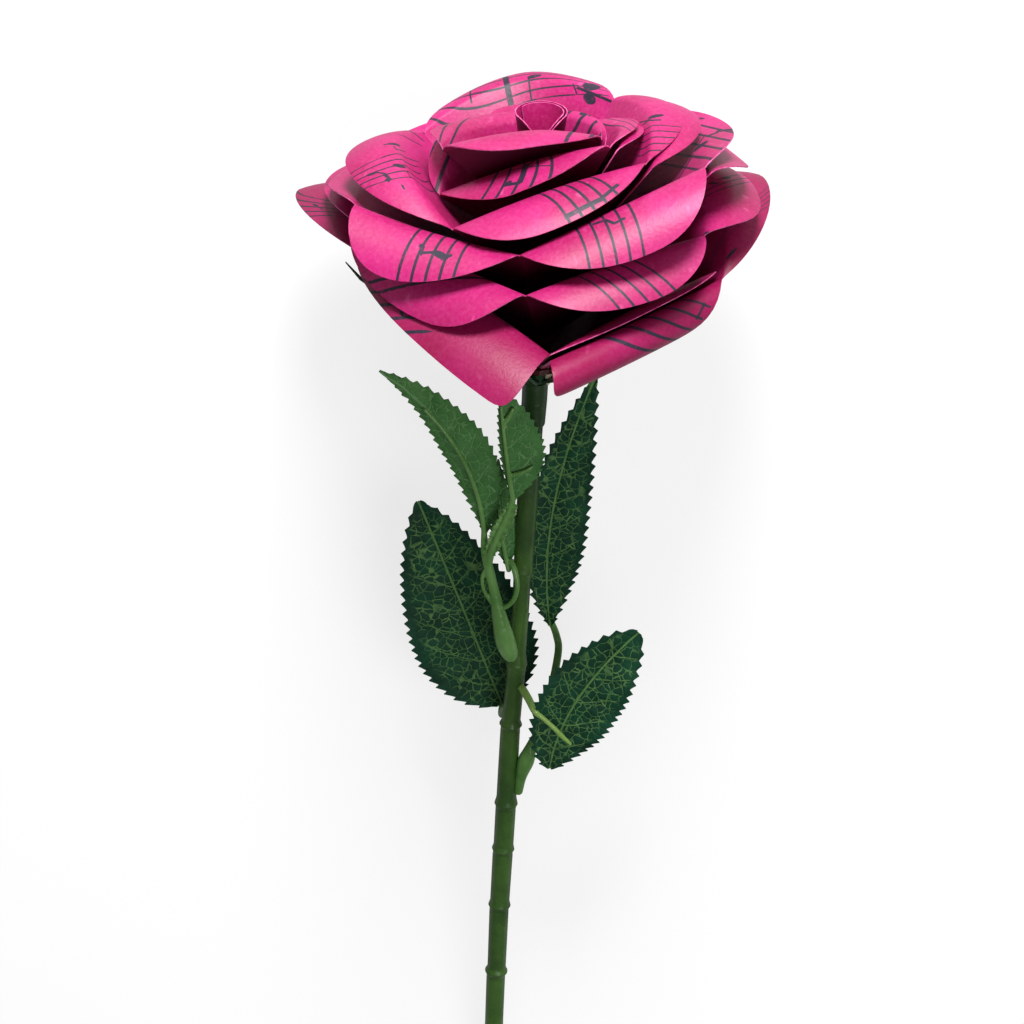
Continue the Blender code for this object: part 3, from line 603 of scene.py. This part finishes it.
def build_layer(name):
    """One nested cone, welded where its lobes meet."""
    spec = SHEETS[name]
    points = []
    faces = []
    prints = []
    sheets = []
    for i, lobe_spec in enumerate(spec["lobes"]):
        start = len(points)
        ruled = STAVES[name].get(i)
        flat = []
        for column in lobe_grid(spec["neck"], spec["cuts"][i], spec["cuts"][i + 1], lobe_spec, i):
            for point, a, b in column:
                points.append(point)
                if ruled:
                    u, v, width = stave_place(ruled, a, b)
                    flat.append(((u + LOBE_PITCH * i, v), (width, b)))
                else:
                    flat.append(((a + LOBE_PITCH * i, BLANK + b), (0.0, b)))
        for face in grid_faces(LOBE_COLUMNS, WALL_ROWS + LIP_ROWS):
            faces.append([start + c for c in face])
            prints += [flat[c][0] for c in face]
            sheets += [flat[c][1] for c in face]
    obj = add_mesh("paper_" + name, points, faces, name)
    set_uv(obj.data, "print", prints)
    set_uv(obj.data, "sheet", sheets)
    bm = bmesh.new()
    bm.from_mesh(obj.data)
    bmesh.ops.remove_doubles(bm, verts=bm.verts, dist=WELD_DISTANCE * MM)
    bm.to_mesh(obj.data)
    bm.free()
    thicken(obj, PAPER_THICK, paper_materials(name))


# Shader helpers

class Nodes:
    """Short ways to add and join shader nodes."""

    def __init__(self, name):
        self.material = bpy.data.materials.new(name)
        self.material.use_nodes = True
        self.tree = self.material.node_tree
        self.surface = self.tree.nodes["Principled BSDF"]

    def add(self, kind, **inputs):
        node = self.tree.nodes.new(kind)
        for key, value in inputs.items():
            setattr(node, key, value)
        return node

    def put(self, socket, value):
        if isinstance(value, bpy.types.NodeSocket):
            self.tree.links.new(value, socket)
        else:
            socket.default_value = value

    def math(self, operation, a, b=0.0, clamp=False):
        node = self.add("ShaderNodeMath", operation=operation, use_clamp=clamp)
        self.put(node.inputs[0], a)
        self.put(node.inputs[1], b)
        return node.outputs[0]

    def vector(self, operation, a, b=(0, 0, 0)):
        node = self.add("ShaderNodeVectorMath", operation=operation)
        self.put(node.inputs[0], a)
        if operation not in ("LENGTH", "ABSOLUTE"):
            self.put(node.inputs[1], b)
        return node.outputs["Value" if operation == "LENGTH" else "Vector"]

    def split(self, vector):
        node = self.add("ShaderNodeSeparateXYZ")
        self.put(node.inputs[0], vector)
        return node.outputs

    def place(self, vector, location, angle, scale):
        node = self.add("ShaderNodeMapping", vector_type="TEXTURE")
        self.put(node.inputs["Vector"], vector)
        node.inputs["Location"].default_value = location
        node.inputs["Rotation"].default_value = (0, 0, math.radians(angle))
        node.inputs["Scale"].default_value = scale
        return node.outputs[0]

    def ramp(self, value, low, high, to_low=0.0, to_high=1.0):
        node = self.add("ShaderNodeMapRange")
        self.put(node.inputs["Value"], value)
        for key, number in (("From Min", low), ("From Max", high), ("To Min", to_low), ("To Max", to_high)):
            self.put(node.inputs[key], number)
        return node.outputs[0]

    def mix(self, factor, a, b):
        node = self.add("ShaderNodeMix", data_type="RGBA")
        self.put(node.inputs[0], factor)
        for socket, value in ((node.inputs[6], a), (node.inputs[7], b)):
            if not isinstance(value, bpy.types.NodeSocket) and len(value) == 3:
                value = (*value, 1.0)
            self.put(socket, value)
        return node.outputs[2]

    def noise(self, vector, scale, detail=3.0, rough=0.5):
        node = self.add("ShaderNodeTexNoise")
        self.put(node.inputs["Vector"], vector)
        node.inputs["Scale"].default_value = scale
        node.inputs["Detail"].default_value = detail
        node.inputs["Roughness"].default_value = rough
        return node.outputs[0]

    def uv(self, name):
        return self.add("ShaderNodeUVMap", uv_map=name).outputs[0]

    def coords(self):
        return self.add("ShaderNodeTexCoord").outputs["Object"]

    def finish(self, colour, rough, gloss=0.5, height=None, strength=1.0, distance=0.001):
        """Fill in the surface, with a bump from height where one is given, and give the material back."""
        self.put(self.surface.inputs["Base Color"], colour)
        self.put(self.surface.inputs["Roughness"], rough)
        self.surface.inputs["Specular IOR Level"].default_value = gloss
        if height is not None:
            node = self.add("ShaderNodeBump")
            self.put(node.inputs["Height"], height)
            node.inputs["Strength"].default_value = strength
            node.inputs["Distance"].default_value = distance
            self.put(self.surface.inputs["Normal"], node.outputs[0])
        return self.material


# Paper materials

def ink_mask(n, name):
    """How much of a place is inked: stave lines and marks."""
    uv = n.uv("print")
    u, v, _ = n.split(uv)
    width, _, _ = n.split(n.uv("sheet"))
    nearest = n.math("ROUND", v)
    off_line = n.math("ABSOLUTE", n.math("SUBTRACT", v, nearest))
    line = n.math("ADD", n.math("DIVIDE", n.math("SUBTRACT", width, off_line), 0.05), 0.5, clamp=True)
    on_stave = n.math("LESS_THAN", n.math("ABSOLUTE", v), 2.5)
    some = n.math("GREATER_THAN", width, 0.001)
    ink = n.math("MULTIPLY", n.math("MULTIPLY", line, on_stave), some)
    near = None
    for index, marks in MARKS[name].items():
        for kind, along, across, length, thick, angle in marks:
            local = n.place(uv, (along + LOBE_PITCH * index, across, 0), angle, (length, thick, 1))
            if kind == "oval":
                away = n.vector("LENGTH", local)
            else:
                x, y, _ = n.split(n.vector("ABSOLUTE", local))
                away = n.math("MAXIMUM", x, y)
            near = away if near is None else n.math("MINIMUM", near, away)
    if near is not None:
        ink = n.math("MAXIMUM", ink, n.ramp(near, 1.0, 1.12, 1.0, 0.0))
    return ink


def paper_materials(name):
    """Lower side, upper side and cut edge of one sheet, with painted shade in the gaps, under the lips and on
    the lower sheets.
    """
    made = []
    for side in ("under", "top"):
        n = Nodes("paper_%s_%s" % (name, side))
        place = n.coords()
        cloud = n.noise(place, CLOUD_SCALE, 4.0)
        colour = n.mix(n.ramp(cloud, 0.3, 0.7), PAPER_DEEP, PAPER_PINK)
        fibre = n.noise(place, FIBRE_SCALE, 4.0, 0.65)
        colour = n.mix(n.ramp(fibre, 0.40, 0.72, 0.0, FIBRE_SHARE), colour, CUT_EDGE)
        speck = n.noise(n.vector("MULTIPLY", place, (1.0, 0.4, 1.0)), SPECK_SCALE, 1.0)
        colour = n.mix(n.ramp(speck, 0.70, 0.78, 0.0, SPECK_SHARE), colour, CUT_EDGE)
        # Painted shade: the lower sheets darken, since less light falls on them
        if side == "top" and name in LOW_SHEET_SHADE:
            colour = n.mix(LOW_SHEET_SHADE[name], colour, PAPER_LOW_SHADE)
        ink = ink_mask(n, name)
        wear = n.ramp(n.noise(place, WEAR_SCALE, 4.0), 0.3, 0.42, 0.7, 0.98)
        colour = n.mix(n.math("MULTIPLY", ink, wear), colour, INK)
        # Painted shade: each side darkens by its distance from the crease, into the gaps and under the lips
        _, depth, _ = n.split(n.uv("sheet"))
        if side == "top":
            shade = n.ramp(depth, *TOP_PAINTED_SHADE, GAP_SHADE_SHARE, 0.0)
        else:
            shade = n.ramp(depth, *UNDER_PAINTED_SHADE, OUTER_SHADE_SHARE if name == "layer_1" else GAP_SHADE_SHARE, LIP_SHADE_SHARE)
        colour = n.mix(shade, colour, PAINTED_GAP_SHADE)
        rough = n.ramp(ink, 0.0, 1.0, PAPER_ROUGH, INK_ROUGH)
        made.append(n.finish(colour, rough, PAPER_GLOSS, fibre, 0.4, 0.00018))
    n = Nodes("paper_%s_edge" % name)
    colour = n.mix(n.ramp(n.noise(n.coords(), 700.0), 0.3, 0.7), CUT_EDGE, PAPER_PINK)
    made.append(n.finish(colour, 0.7))
    return made


def build_roll():
    """The wound centre strip, with a dip at its front."""
    points = []
    flat = []
    for j in range(ROLL_COLUMNS + 1):
        share = j / ROLL_COLUMNS
        angle = ROLL_START + 2 * math.pi * ROLL_TURNS * share
        shrink = ROLL_SHRINK * ROLL_TURNS * share
        dip = ROLL_NOTCH * max(0.0, -math.sin(angle)) ** 6
        for k in range(ROLL_ROWS + 1):
            t = k / ROLL_ROWS
            radius = ROLL_BOTTOM[0] + (ROLL_TOP[0] - ROLL_BOTTOM[0]) * t ** 0.8 - shrink
            height = ROLL_BOTTOM[1] + (ROLL_TOP[1] - dip - ROLL_BOTTOM[1]) * t
            points.append((radius * math.cos(angle), radius * math.sin(angle), height))
            flat.append((0.0, (t - 1.0) * (ROLL_TOP[1] - ROLL_BOTTOM[1])))
    faces = grid_faces(ROLL_COLUMNS, ROLL_ROWS)
    obj = add_mesh("paper_roll", points, faces, "centre_roll")
    sheets = [flat[c] for face in faces for c in face]
    set_uv(obj.data, "print", [(0.0, BLANK)] * len(sheets))
    set_uv(obj.data, "sheet", sheets)
    thicken(obj, PAPER_THICK, paper_materials("roll"))


# Leaves

def bezier(points, t):
    """A point on the curve that a few points pull."""
    work = [Vector(p) for p in points]
    while len(work) > 1:
        work = [work[k].lerp(work[k + 1], t) for k in range(len(work) - 1)]
    return work[0]


def blade_half_width(t, peak, full, blunt):
    """Half width share of a leaf blade at place t. full rounds its foot, blunt its tip."""
    if t < peak:
        return math.sin(math.pi / 2 * t / peak) ** full
    return math.cos(math.pi / 2 * (t - peak) / (1 - peak)) ** blunt


def build_blade(name, spine, facing, widths, peak=0.42, fold=0.18, teeth=24, bite=0.8, full=0.75, blunt=0.9):
    """A leaf blade with saw teeth along both edges. widths are its left and right half widths."""
    rows = teeth * TOOTH_STEPS
    face_dir = Vector(facing).normalized()
    length = (Vector(spine[-1]) - Vector(spine[0])).length
    points = []
    flats = []
    for k in range(rows + 1):
        t = k / rows
        t_in = min(max(t, 0.004), 0.996)
        share = max(blade_half_width(t_in, peak, full, blunt), 0.04)
        # each tooth leans toward the tip
        tooth = ((k % TOOTH_STEPS) / (TOOTH_STEPS - 1)) ** 1.3
        point_on = bezier(spine, t_in)
        tangent = (bezier(spine, min(t_in + 0.01, 1.0)) - bezier(spine, max(t_in - 0.01, 0.0))).normalized()
        side = tangent.cross(face_dir).normalized()
        normal = side.cross(tangent).normalized()
        for j in range(-HALF_STEPS, HALF_STEPS + 1):
            u = j / HALF_STEPS
            width = widths[1] if u > 0 else widths[0]
            edge = max(0.0, abs(u) - (1.0 - TOOTH_ZONE)) / TOOTH_ZONE
            cut = bite * (1.0 - tooth) * edge * min(1.0, 6 * share)
            half = max(width * share - cut, 0.05)
            wave = BLADE_WAVE * math.sin(t * 17.0 + (2.0 if u > 0 else 0.0)) * u * u
            bulge = math.sin(math.pi * min(1.0, abs(u) * 1.2))
            quilt = BLADE_QUILT * math.sin(t * 46.0 - 5.0 * abs(u)) * bulge
            groove = -GROOVE_DEEP * math.exp(-(u * half / GROOVE_WIDE) ** 2)
            lift = fold * abs(u) * half + wave + quilt + groove
            points.append(point_on + side * u * half + normal * lift)
            flats.append(((u * half, t * length), (abs(u), t)))
    faces = grid_faces(rows, 2 * HALF_STEPS, flip=True)
    obj = add_mesh(name.replace("leaf", "blade"), points, faces, name)
    set_uv(obj.data, "blade", [flats[c][0] for face in faces for c in face])
    set_uv(obj.data, "share", [flats[c][1] for face in faces for c in face])
    thicken(obj, BLADE_THICK, leaf_materials(name))


def leaf_materials(name):
    """Front and back of a blade: a midrib, side veins and a net that fades toward the toothed edge."""
    made = []
    for side in ("front", "back"):
        n = Nodes("leaf_%s_%s" % (name, side))
        flat = n.uv("blade")
        x, y, _ = n.split(flat)
        outward, along, _ = n.split(n.uv("share"))
        wide = n.math("ABSOLUTE", x)
        wander = n.math("MULTIPLY", n.noise(flat, 0.3, 2.0), VEIN_STRAY)
        curve = n.math("MULTIPLY", n.math("POWER", wide, 1.25), 0.5)
        beat = n.math("DIVIDE", n.math("ADD", n.math("SUBTRACT", y, curve), wander), VEIN_STEP)
        off = n.math("ABSOLUTE", n.math("SUBTRACT", beat, n.math("ROUND", beat)))
        side_vein = n.ramp(off, 0.014, 0.040, 1.0, 0.0)
        midrib = n.ramp(wide, 0.20, 0.36, 1.0, 0.0)
        warp = n.add("ShaderNodeTexNoise")
        n.put(warp.inputs["Vector"], flat)
        warp.inputs["Scale"].default_value = 0.6
        bent = n.vector("ADD", flat, n.vector("MULTIPLY", warp.outputs["Color"], (1.2, 1.2, 0.0)))
        cell = n.add("ShaderNodeTexVoronoi", feature="DISTANCE_TO_EDGE")
        n.put(cell.inputs["Vector"], bent)
        cell.inputs["Scale"].default_value = NET_SCALE
        net = n.ramp(cell.outputs["Distance"], 0.025, 0.075, 1.0, 0.0)
        inside = n.ramp(outward, 0.70, 0.86, 1.0, 0.0)
        margin = n.math("MULTIPLY", inside, n.ramp(along, 0.88, 0.97, 1.0, 0.0))
        patchy = n.ramp(n.noise(flat, 0.35, 2.0), 0.32, 0.55, 0.35, 1.0)
        fine = n.math("MULTIPLY", n.math("MAXIMUM", net, side_vein), n.math("MULTIPLY", margin, patchy))
        veins = n.math("MAXIMUM", n.math("MULTIPLY", fine, 0.85), n.math("MULTIPLY", midrib, 0.9))
        patch = n.ramp(n.noise(flat, 0.16, 3.0), 0.35, 0.65)
        pale = side == "back" or name in BACK_SHOWING
        dark, middle, vein = (BACK_DARK, BACK_MID, BACK_VEIN) if pale else (LEAF_DARK, LEAF_MID, LEAF_VEIN)
        near_vein = n.ramp(cell.outputs["Distance"], 0.0, 0.45, 0.0, 0.35)
        colour = n.mix(patch, dark, middle)
        colour = n.mix(near_vein, colour, middle)
        colour = n.mix(veins, colour, vein)
        weave = n.noise(flat, 5.0, 2.0)
        height = n.math("ADD", n.math("MULTIPLY", veins, -0.7), n.math("MULTIPLY", weave, 0.3))
        height = n.math("ADD", height, n.ramp(cell.outputs["Distance"], 0.0, 0.5, 0.0, 0.5))
        made.append(n.finish(colour, LEAF_ROUGH, LEAF_GLOSS, height, 0.6, 0.0004))
    return made


# Stem and branches

def stem_material(name, dark, light, rough=0.34, top=None):
    """Moulded plastic, mottled and slightly pitted. top is the colour that it turns to under the flower."""
    n = Nodes(name)
    place = n.coords()
    tone = n.ramp(n.noise(place, 90.0, 4.0), 0.3, 0.7)
    colour = n.mix(tone, dark, light)
    streak = n.noise(n.vector("MULTIPLY", place, (900.0, 45.0, 900.0)), 1.0, 2.0)
    colour = n.mix(n.ramp(streak, 0.45, 0.75, 0.0, 0.45), colour, dark)
    if top:
        _, y, _ = n.split(place)
        low, high = (PLACE @ Vector((0, 0, height)) for height in TOP_SHADE)
        colour = n.mix(n.ramp(y, low.y, high.y), colour, top)
    pits = n.noise(place, 520.0, 3.0)
    return n.finish(colour, rough, PLASTIC_GLOSS, pits, 0.45, 0.0005)


def sweep(path, radii, sides):
    """A closed tube along a path."""
    points = [Vector(p) for p in path]
    verts = []
    faces = []
    side = Vector((0.0, -1.0, 0.0))
    for k, point in enumerate(points):
        before = points[max(k - 1, 0)]
        after = points[min(k + 1, len(points) - 1)]
        tangent = (after - before).normalized()
        side = (side - tangent * side.dot(tangent)).normalized()
        other = tangent.cross(side)
        for j in range(sides):
            angle = 2 * math.pi * j / sides
            verts.append(point + (side * math.cos(angle) + other * math.sin(angle)) * radii[k])
    for k in range(len(points) - 1):
        for j in range(sides):
            a = k * sides + j
            b = k * sides + (j + 1) % sides
            faces.append((a, b, b + sides, a + sides))
    faces.append(tuple(reversed(range(sides))))
    faces.append(tuple(range((len(points) - 1) * sides, len(points) * sides)))
    return verts, faces


def build_stem():
    """The stem, with a step at the end of each sleeve."""
    xs, heights, widths = np.array(STEM_LINE).T
    path = []
    radii = []
    for k in range(STEM_STEPS + 1):
        z = heights[0] + (heights[-1] - heights[0]) * k / STEM_STEPS
        radius = float(np.interp(-z, -heights, widths))
        for sleeve in SLEEVES:
            below = sleeve - z
            if 0.0 <= below < SLEEVE_LENGTH:
                start = math.sin(math.pi * min(below / SLEEVE_EDGE, 1.0) / 2)
                radius -= SLEEVE_STEP * start * (SLEEVE_LENGTH - below) / SLEEVE_LENGTH
            if -SLEEVE_LIP_LENGTH < below < 0.0:
                radius += SLEEVE_LIP * (1.0 + below / SLEEVE_LIP_LENGTH)
        path.append((float(np.interp(-z, -heights, xs)), 0.0, z))
        radii.append(radius)
    points, faces = sweep(path, radii, STEM_SIDES)
    obj = add_mesh("stem_body", points, faces, "stem")
    obj.data.materials.append(stem_material("stem_green", STEM_DARK, STEM_LIGHT, top=TUBE_GREEN))
    smooth(obj, 50.0)


def soft_path(rod, per_span=8):
    """A smooth curve through a rod's points, radius included."""
    rows = [Vector((*point[:3], point[3])) for point in rod]
    rows = [rows[0] * 2 - rows[1]] + rows + [rows[-1] * 2 - rows[-2]]
    curve = []
    for k in range(1, len(rows) - 2):
        a, b, c, d = rows[k - 1:k + 3]
        for step in range(per_span):
            t = step / per_span
            curve.append(0.5 * (2 * b + (c - a) * t + (2 * a - 5 * b + 4 * c - d) * t ** 2
                                + (3 * b - a - 3 * c + d) * t ** 3))
    curve.append(rows[-2])
    return curve


def rib_rod(leaf):
    """The rod of a leaf's midrib, just clear of the blade's back."""
    spec = LEAVES[leaf]
    back = -Vector(spec["facing"]).normalized()
    stand_off = BLADE_THICK / 2 + RIB_SEAT + RIB_RADIUS
    rod = []
    for k in range(RIB_POINTS):
        t = RIB_REACH[leaf] * k / (RIB_POINTS - 1)
        point = bezier(spec["spine"], t) + back * stand_off
        rod.append((*point, RIB_RADIUS + (RIB_TIP - RIB_RADIUS) * t))
    return rod


def build_branch(name, spec, material):
    """Rods and ribs of one moulding, melted into one skin."""
    points = []
    faces = []
    for rod in spec["rods"] + [rib_rod(leaf) for leaf in spec["ribs"]]:
        curve = soft_path(rod)
        first = curve[0]
        last = curve[-1]
        start = first.xyz + (first.xyz - curve[1].xyz).normalized() * first.w * ROD_CAP
        end = last.xyz + (last.xyz - curve[-2].xyz).normalized() * last.w * ROD_CAP
        path = [start] + [p.xyz for p in curve] + [end]
        radii = [first.w * ROD_END] + [p.w for p in curve] + [last.w * ROD_END]
        verts, rod_faces = sweep(path, radii, ROD_SIDES)
        faces += [[len(points) + c for c in face] for face in rod_faces]
        points += verts
    obj = add_mesh(name + "_skin", points, faces, name)
    melt = obj.modifiers.new("melt", "REMESH")
    melt.mode = "VOXEL"
    melt.voxel_size = MELT_SIZE * MM
    soften = obj.modifiers.new("soften", "SMOOTH")
    soften.factor = 0.5
    soften.iterations = SOFTEN_STEPS
    apply_modifiers(obj)
    obj.data.materials.clear()
    obj.data.materials.append(material)
    smooth(obj, 180.0)


def build_ruffle(material):
    """The thin wavy wing along the middle leaf's stalk."""
    curve = soft_path(RUFFLE, 14)
    points = []
    for k, place in enumerate(curve):
        after = curve[min(k + 1, len(curve) - 1)].xyz - curve[max(k - 1, 0)].xyz
        side = after.cross(Vector((0.0, -1.0, 0.3))).normalized()
        normal = side.cross(after).normalized()
        for j in range(-RUFFLE_STEPS, RUFFLE_STEPS + 1):
            u = j / RUFFLE_STEPS
            wave = RUFFLE_WAVE * math.sin(RUFFLE_BEAT * k * 0.42 + (1.3 if u > 0 else 0.0)) * u * u
            reach = place.w * (1.0 + 0.16 * math.sin(k * 1.9 + u))
            points.append(place.xyz + side * reach * u + normal * (wave - 0.5 * (1.0 - u * u)))
    faces = grid_faces(len(curve) - 1, 2 * RUFFLE_STEPS, flip=True)
    obj = add_mesh("stalk_ruffle", points, faces, None)
    thicken(obj, RUFFLE_THICK, [material], 60.0)


def build_glue_run(material):
    """A drop of glue that set beside the tube."""
    ball = [(0.0, 0.0, 1.0)]
    for j in range(1, GLUE_ROWS):
        down = math.pi * j / GLUE_ROWS
        for k in range(GLUE_COLUMNS):
            turn = 2 * math.pi * k / GLUE_COLUMNS
            ball.append((math.sin(down) * math.cos(turn), math.sin(down) * math.sin(turn), math.cos(down)))
    ball.append((0.0, 0.0, -1.0))
    last = len(ball) - 1
    faces = []
    for k in range(GLUE_COLUMNS):
        after = (k + 1) % GLUE_COLUMNS
        faces.append((0, 1 + k, 1 + after))
        for j in range(GLUE_ROWS - 2):
            a = 1 + j * GLUE_COLUMNS
            b = a + GLUE_COLUMNS
            faces.append((a + k, b + k, b + after, a + after))
        faces.append((last, last - GLUE_COLUMNS + after, last - GLUE_COLUMNS + k))
    points = []
    for x, y, z in ball:
        swell = 1.0 + 0.12 * math.sin(4 * z + 2 * x) - 0.15 * z
        points.append([GLUE_RUN["place"][k] + GLUE_RUN["sizes"][k] * c
                       for k, c in enumerate((x * swell, y * swell, z))])
    obj = add_mesh("glue_run", points, faces, None)
    obj.data.materials.append(material)
    smooth(obj, 180.0)


def dress_nodes():
    """Branches, stalks and glue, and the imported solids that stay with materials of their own."""
    branch = stem_material("branch_green", *BRANCH_GREENS, 0.28)
    stalk = stem_material("stalk_green", *STALK_GREENS, 0.3)
    cream = stem_material("glue_cream", *GLUE_CREAMS, 0.3)
    for name, spec in BRANCHES.items():
        build_branch(name, spec, stalk if name == "petiole_right" else branch)
    build_ruffle(branch)
    build_glue_run(cream)
    calyx = stem_material("calyx_green", *CALYX_GREENS)
    # The glue core is dyed by the paper and also painted dark as the shade deep among the sheets
    core = stem_material("glue_stain_and_shade", *GLUE_STAIN_SHADES, 0.4)
    for node, material in (("calyx", calyx), ("glue_core", core)):
        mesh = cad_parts[node].data
        mesh.materials.clear()
        mesh.materials.append(material)


# Floor, lights and camera

def build_stage():
    """A plain floor. It glows for the camera alone, so the photo's white ground keeps a soft shadow."""
    mesh = bpy.data.meshes.new("floor")
    corners = [(x * FLOOR_HALF, y * FLOOR_HALF, 0) for x, y in ((-1, -1), (1, -1), (1, 1), (-1, 1))]
    mesh.from_pydata(corners, [], [(0, 1, 2, 3)])
    floor = new_object("floor", mesh)
    floor.location.z = -FLOOR_DROP
    n = Nodes("floor_white")
    camera_ray = n.add("ShaderNodeLightPath").outputs["Is Camera Ray"]
    n.surface.inputs["Emission Color"].default_value = (1, 1, 1, 1)
    n.put(n.surface.inputs["Emission Strength"], n.math("MULTIPLY", camera_ray, FLOOR_GLOW))
    mesh.materials.append(n.finish(n.mix(camera_ray, FLOOR_LIT, FLOOR_SEEN), 0.9, 0.1))


def build_lights():
    """Round lamps at design points, and an even white surround."""
    for name, place, aim, size, power in LAMPS:
        data = bpy.data.lights.new(name, "AREA")
        data.shape = "DISK"
        data.size = size
        data.energy = power
        start = PLACE @ Vector(place)
        end = PLACE @ Vector(aim)
        turn = (end - start).to_track_quat("-Z", "Y").to_matrix().to_4x4()
        new_object(name, data).matrix_world = Matrix.Translation(start) @ turn
    world = bpy.data.worlds.new("studio")
    world.use_nodes = True
    bpy.context.scene.world = world
    background = world.node_tree.nodes["Background"]
    background.inputs["Color"].default_value = (1, 1, 1, 1)
    background.inputs["Strength"].default_value = WORLD_STRENGTH


def build_camera():
    """The camera at the photo's place and angle."""
    data = bpy.data.cameras.new("camera")
    data.sensor_width = SENSOR_WIDTH
    data.lens = SENSOR_WIDTH * CAMERA_FOCUS / PHOTO_WIDTH
    data.clip_start = 0.01
    data.clip_end = 20.0
    tilt = math.radians(CAMERA_TILT)
    right = Vector((1, 0, 0))
    up = Vector((0, math.sin(tilt), math.cos(tilt)))
    back = Vector((0, -math.cos(tilt), math.sin(tilt)))
    start = PLACE @ (Vector(CAMERA_TARGET) + back * CAMERA_DISTANCE)
    turn = PLACE.to_3x3().normalized()
    axes = Matrix((turn @ right, turn @ up, turn @ back)).transposed()
    camera = new_object("camera", data)
    camera.matrix_world = Matrix.Translation(start) @ axes.to_4x4()
    bpy.context.scene.camera = camera


def main():
    """Build the whole scene."""
    build_camera()
    build_stage()
    build_lights()
    for name in SHEETS:
        build_layer(name)
    build_roll()
    for name, spec in LEAVES.items():
        build_blade(name, **spec)
    build_stem()
    dress_nodes()
    bpy.context.scene.view_settings.view_transform = "Standard"


main()
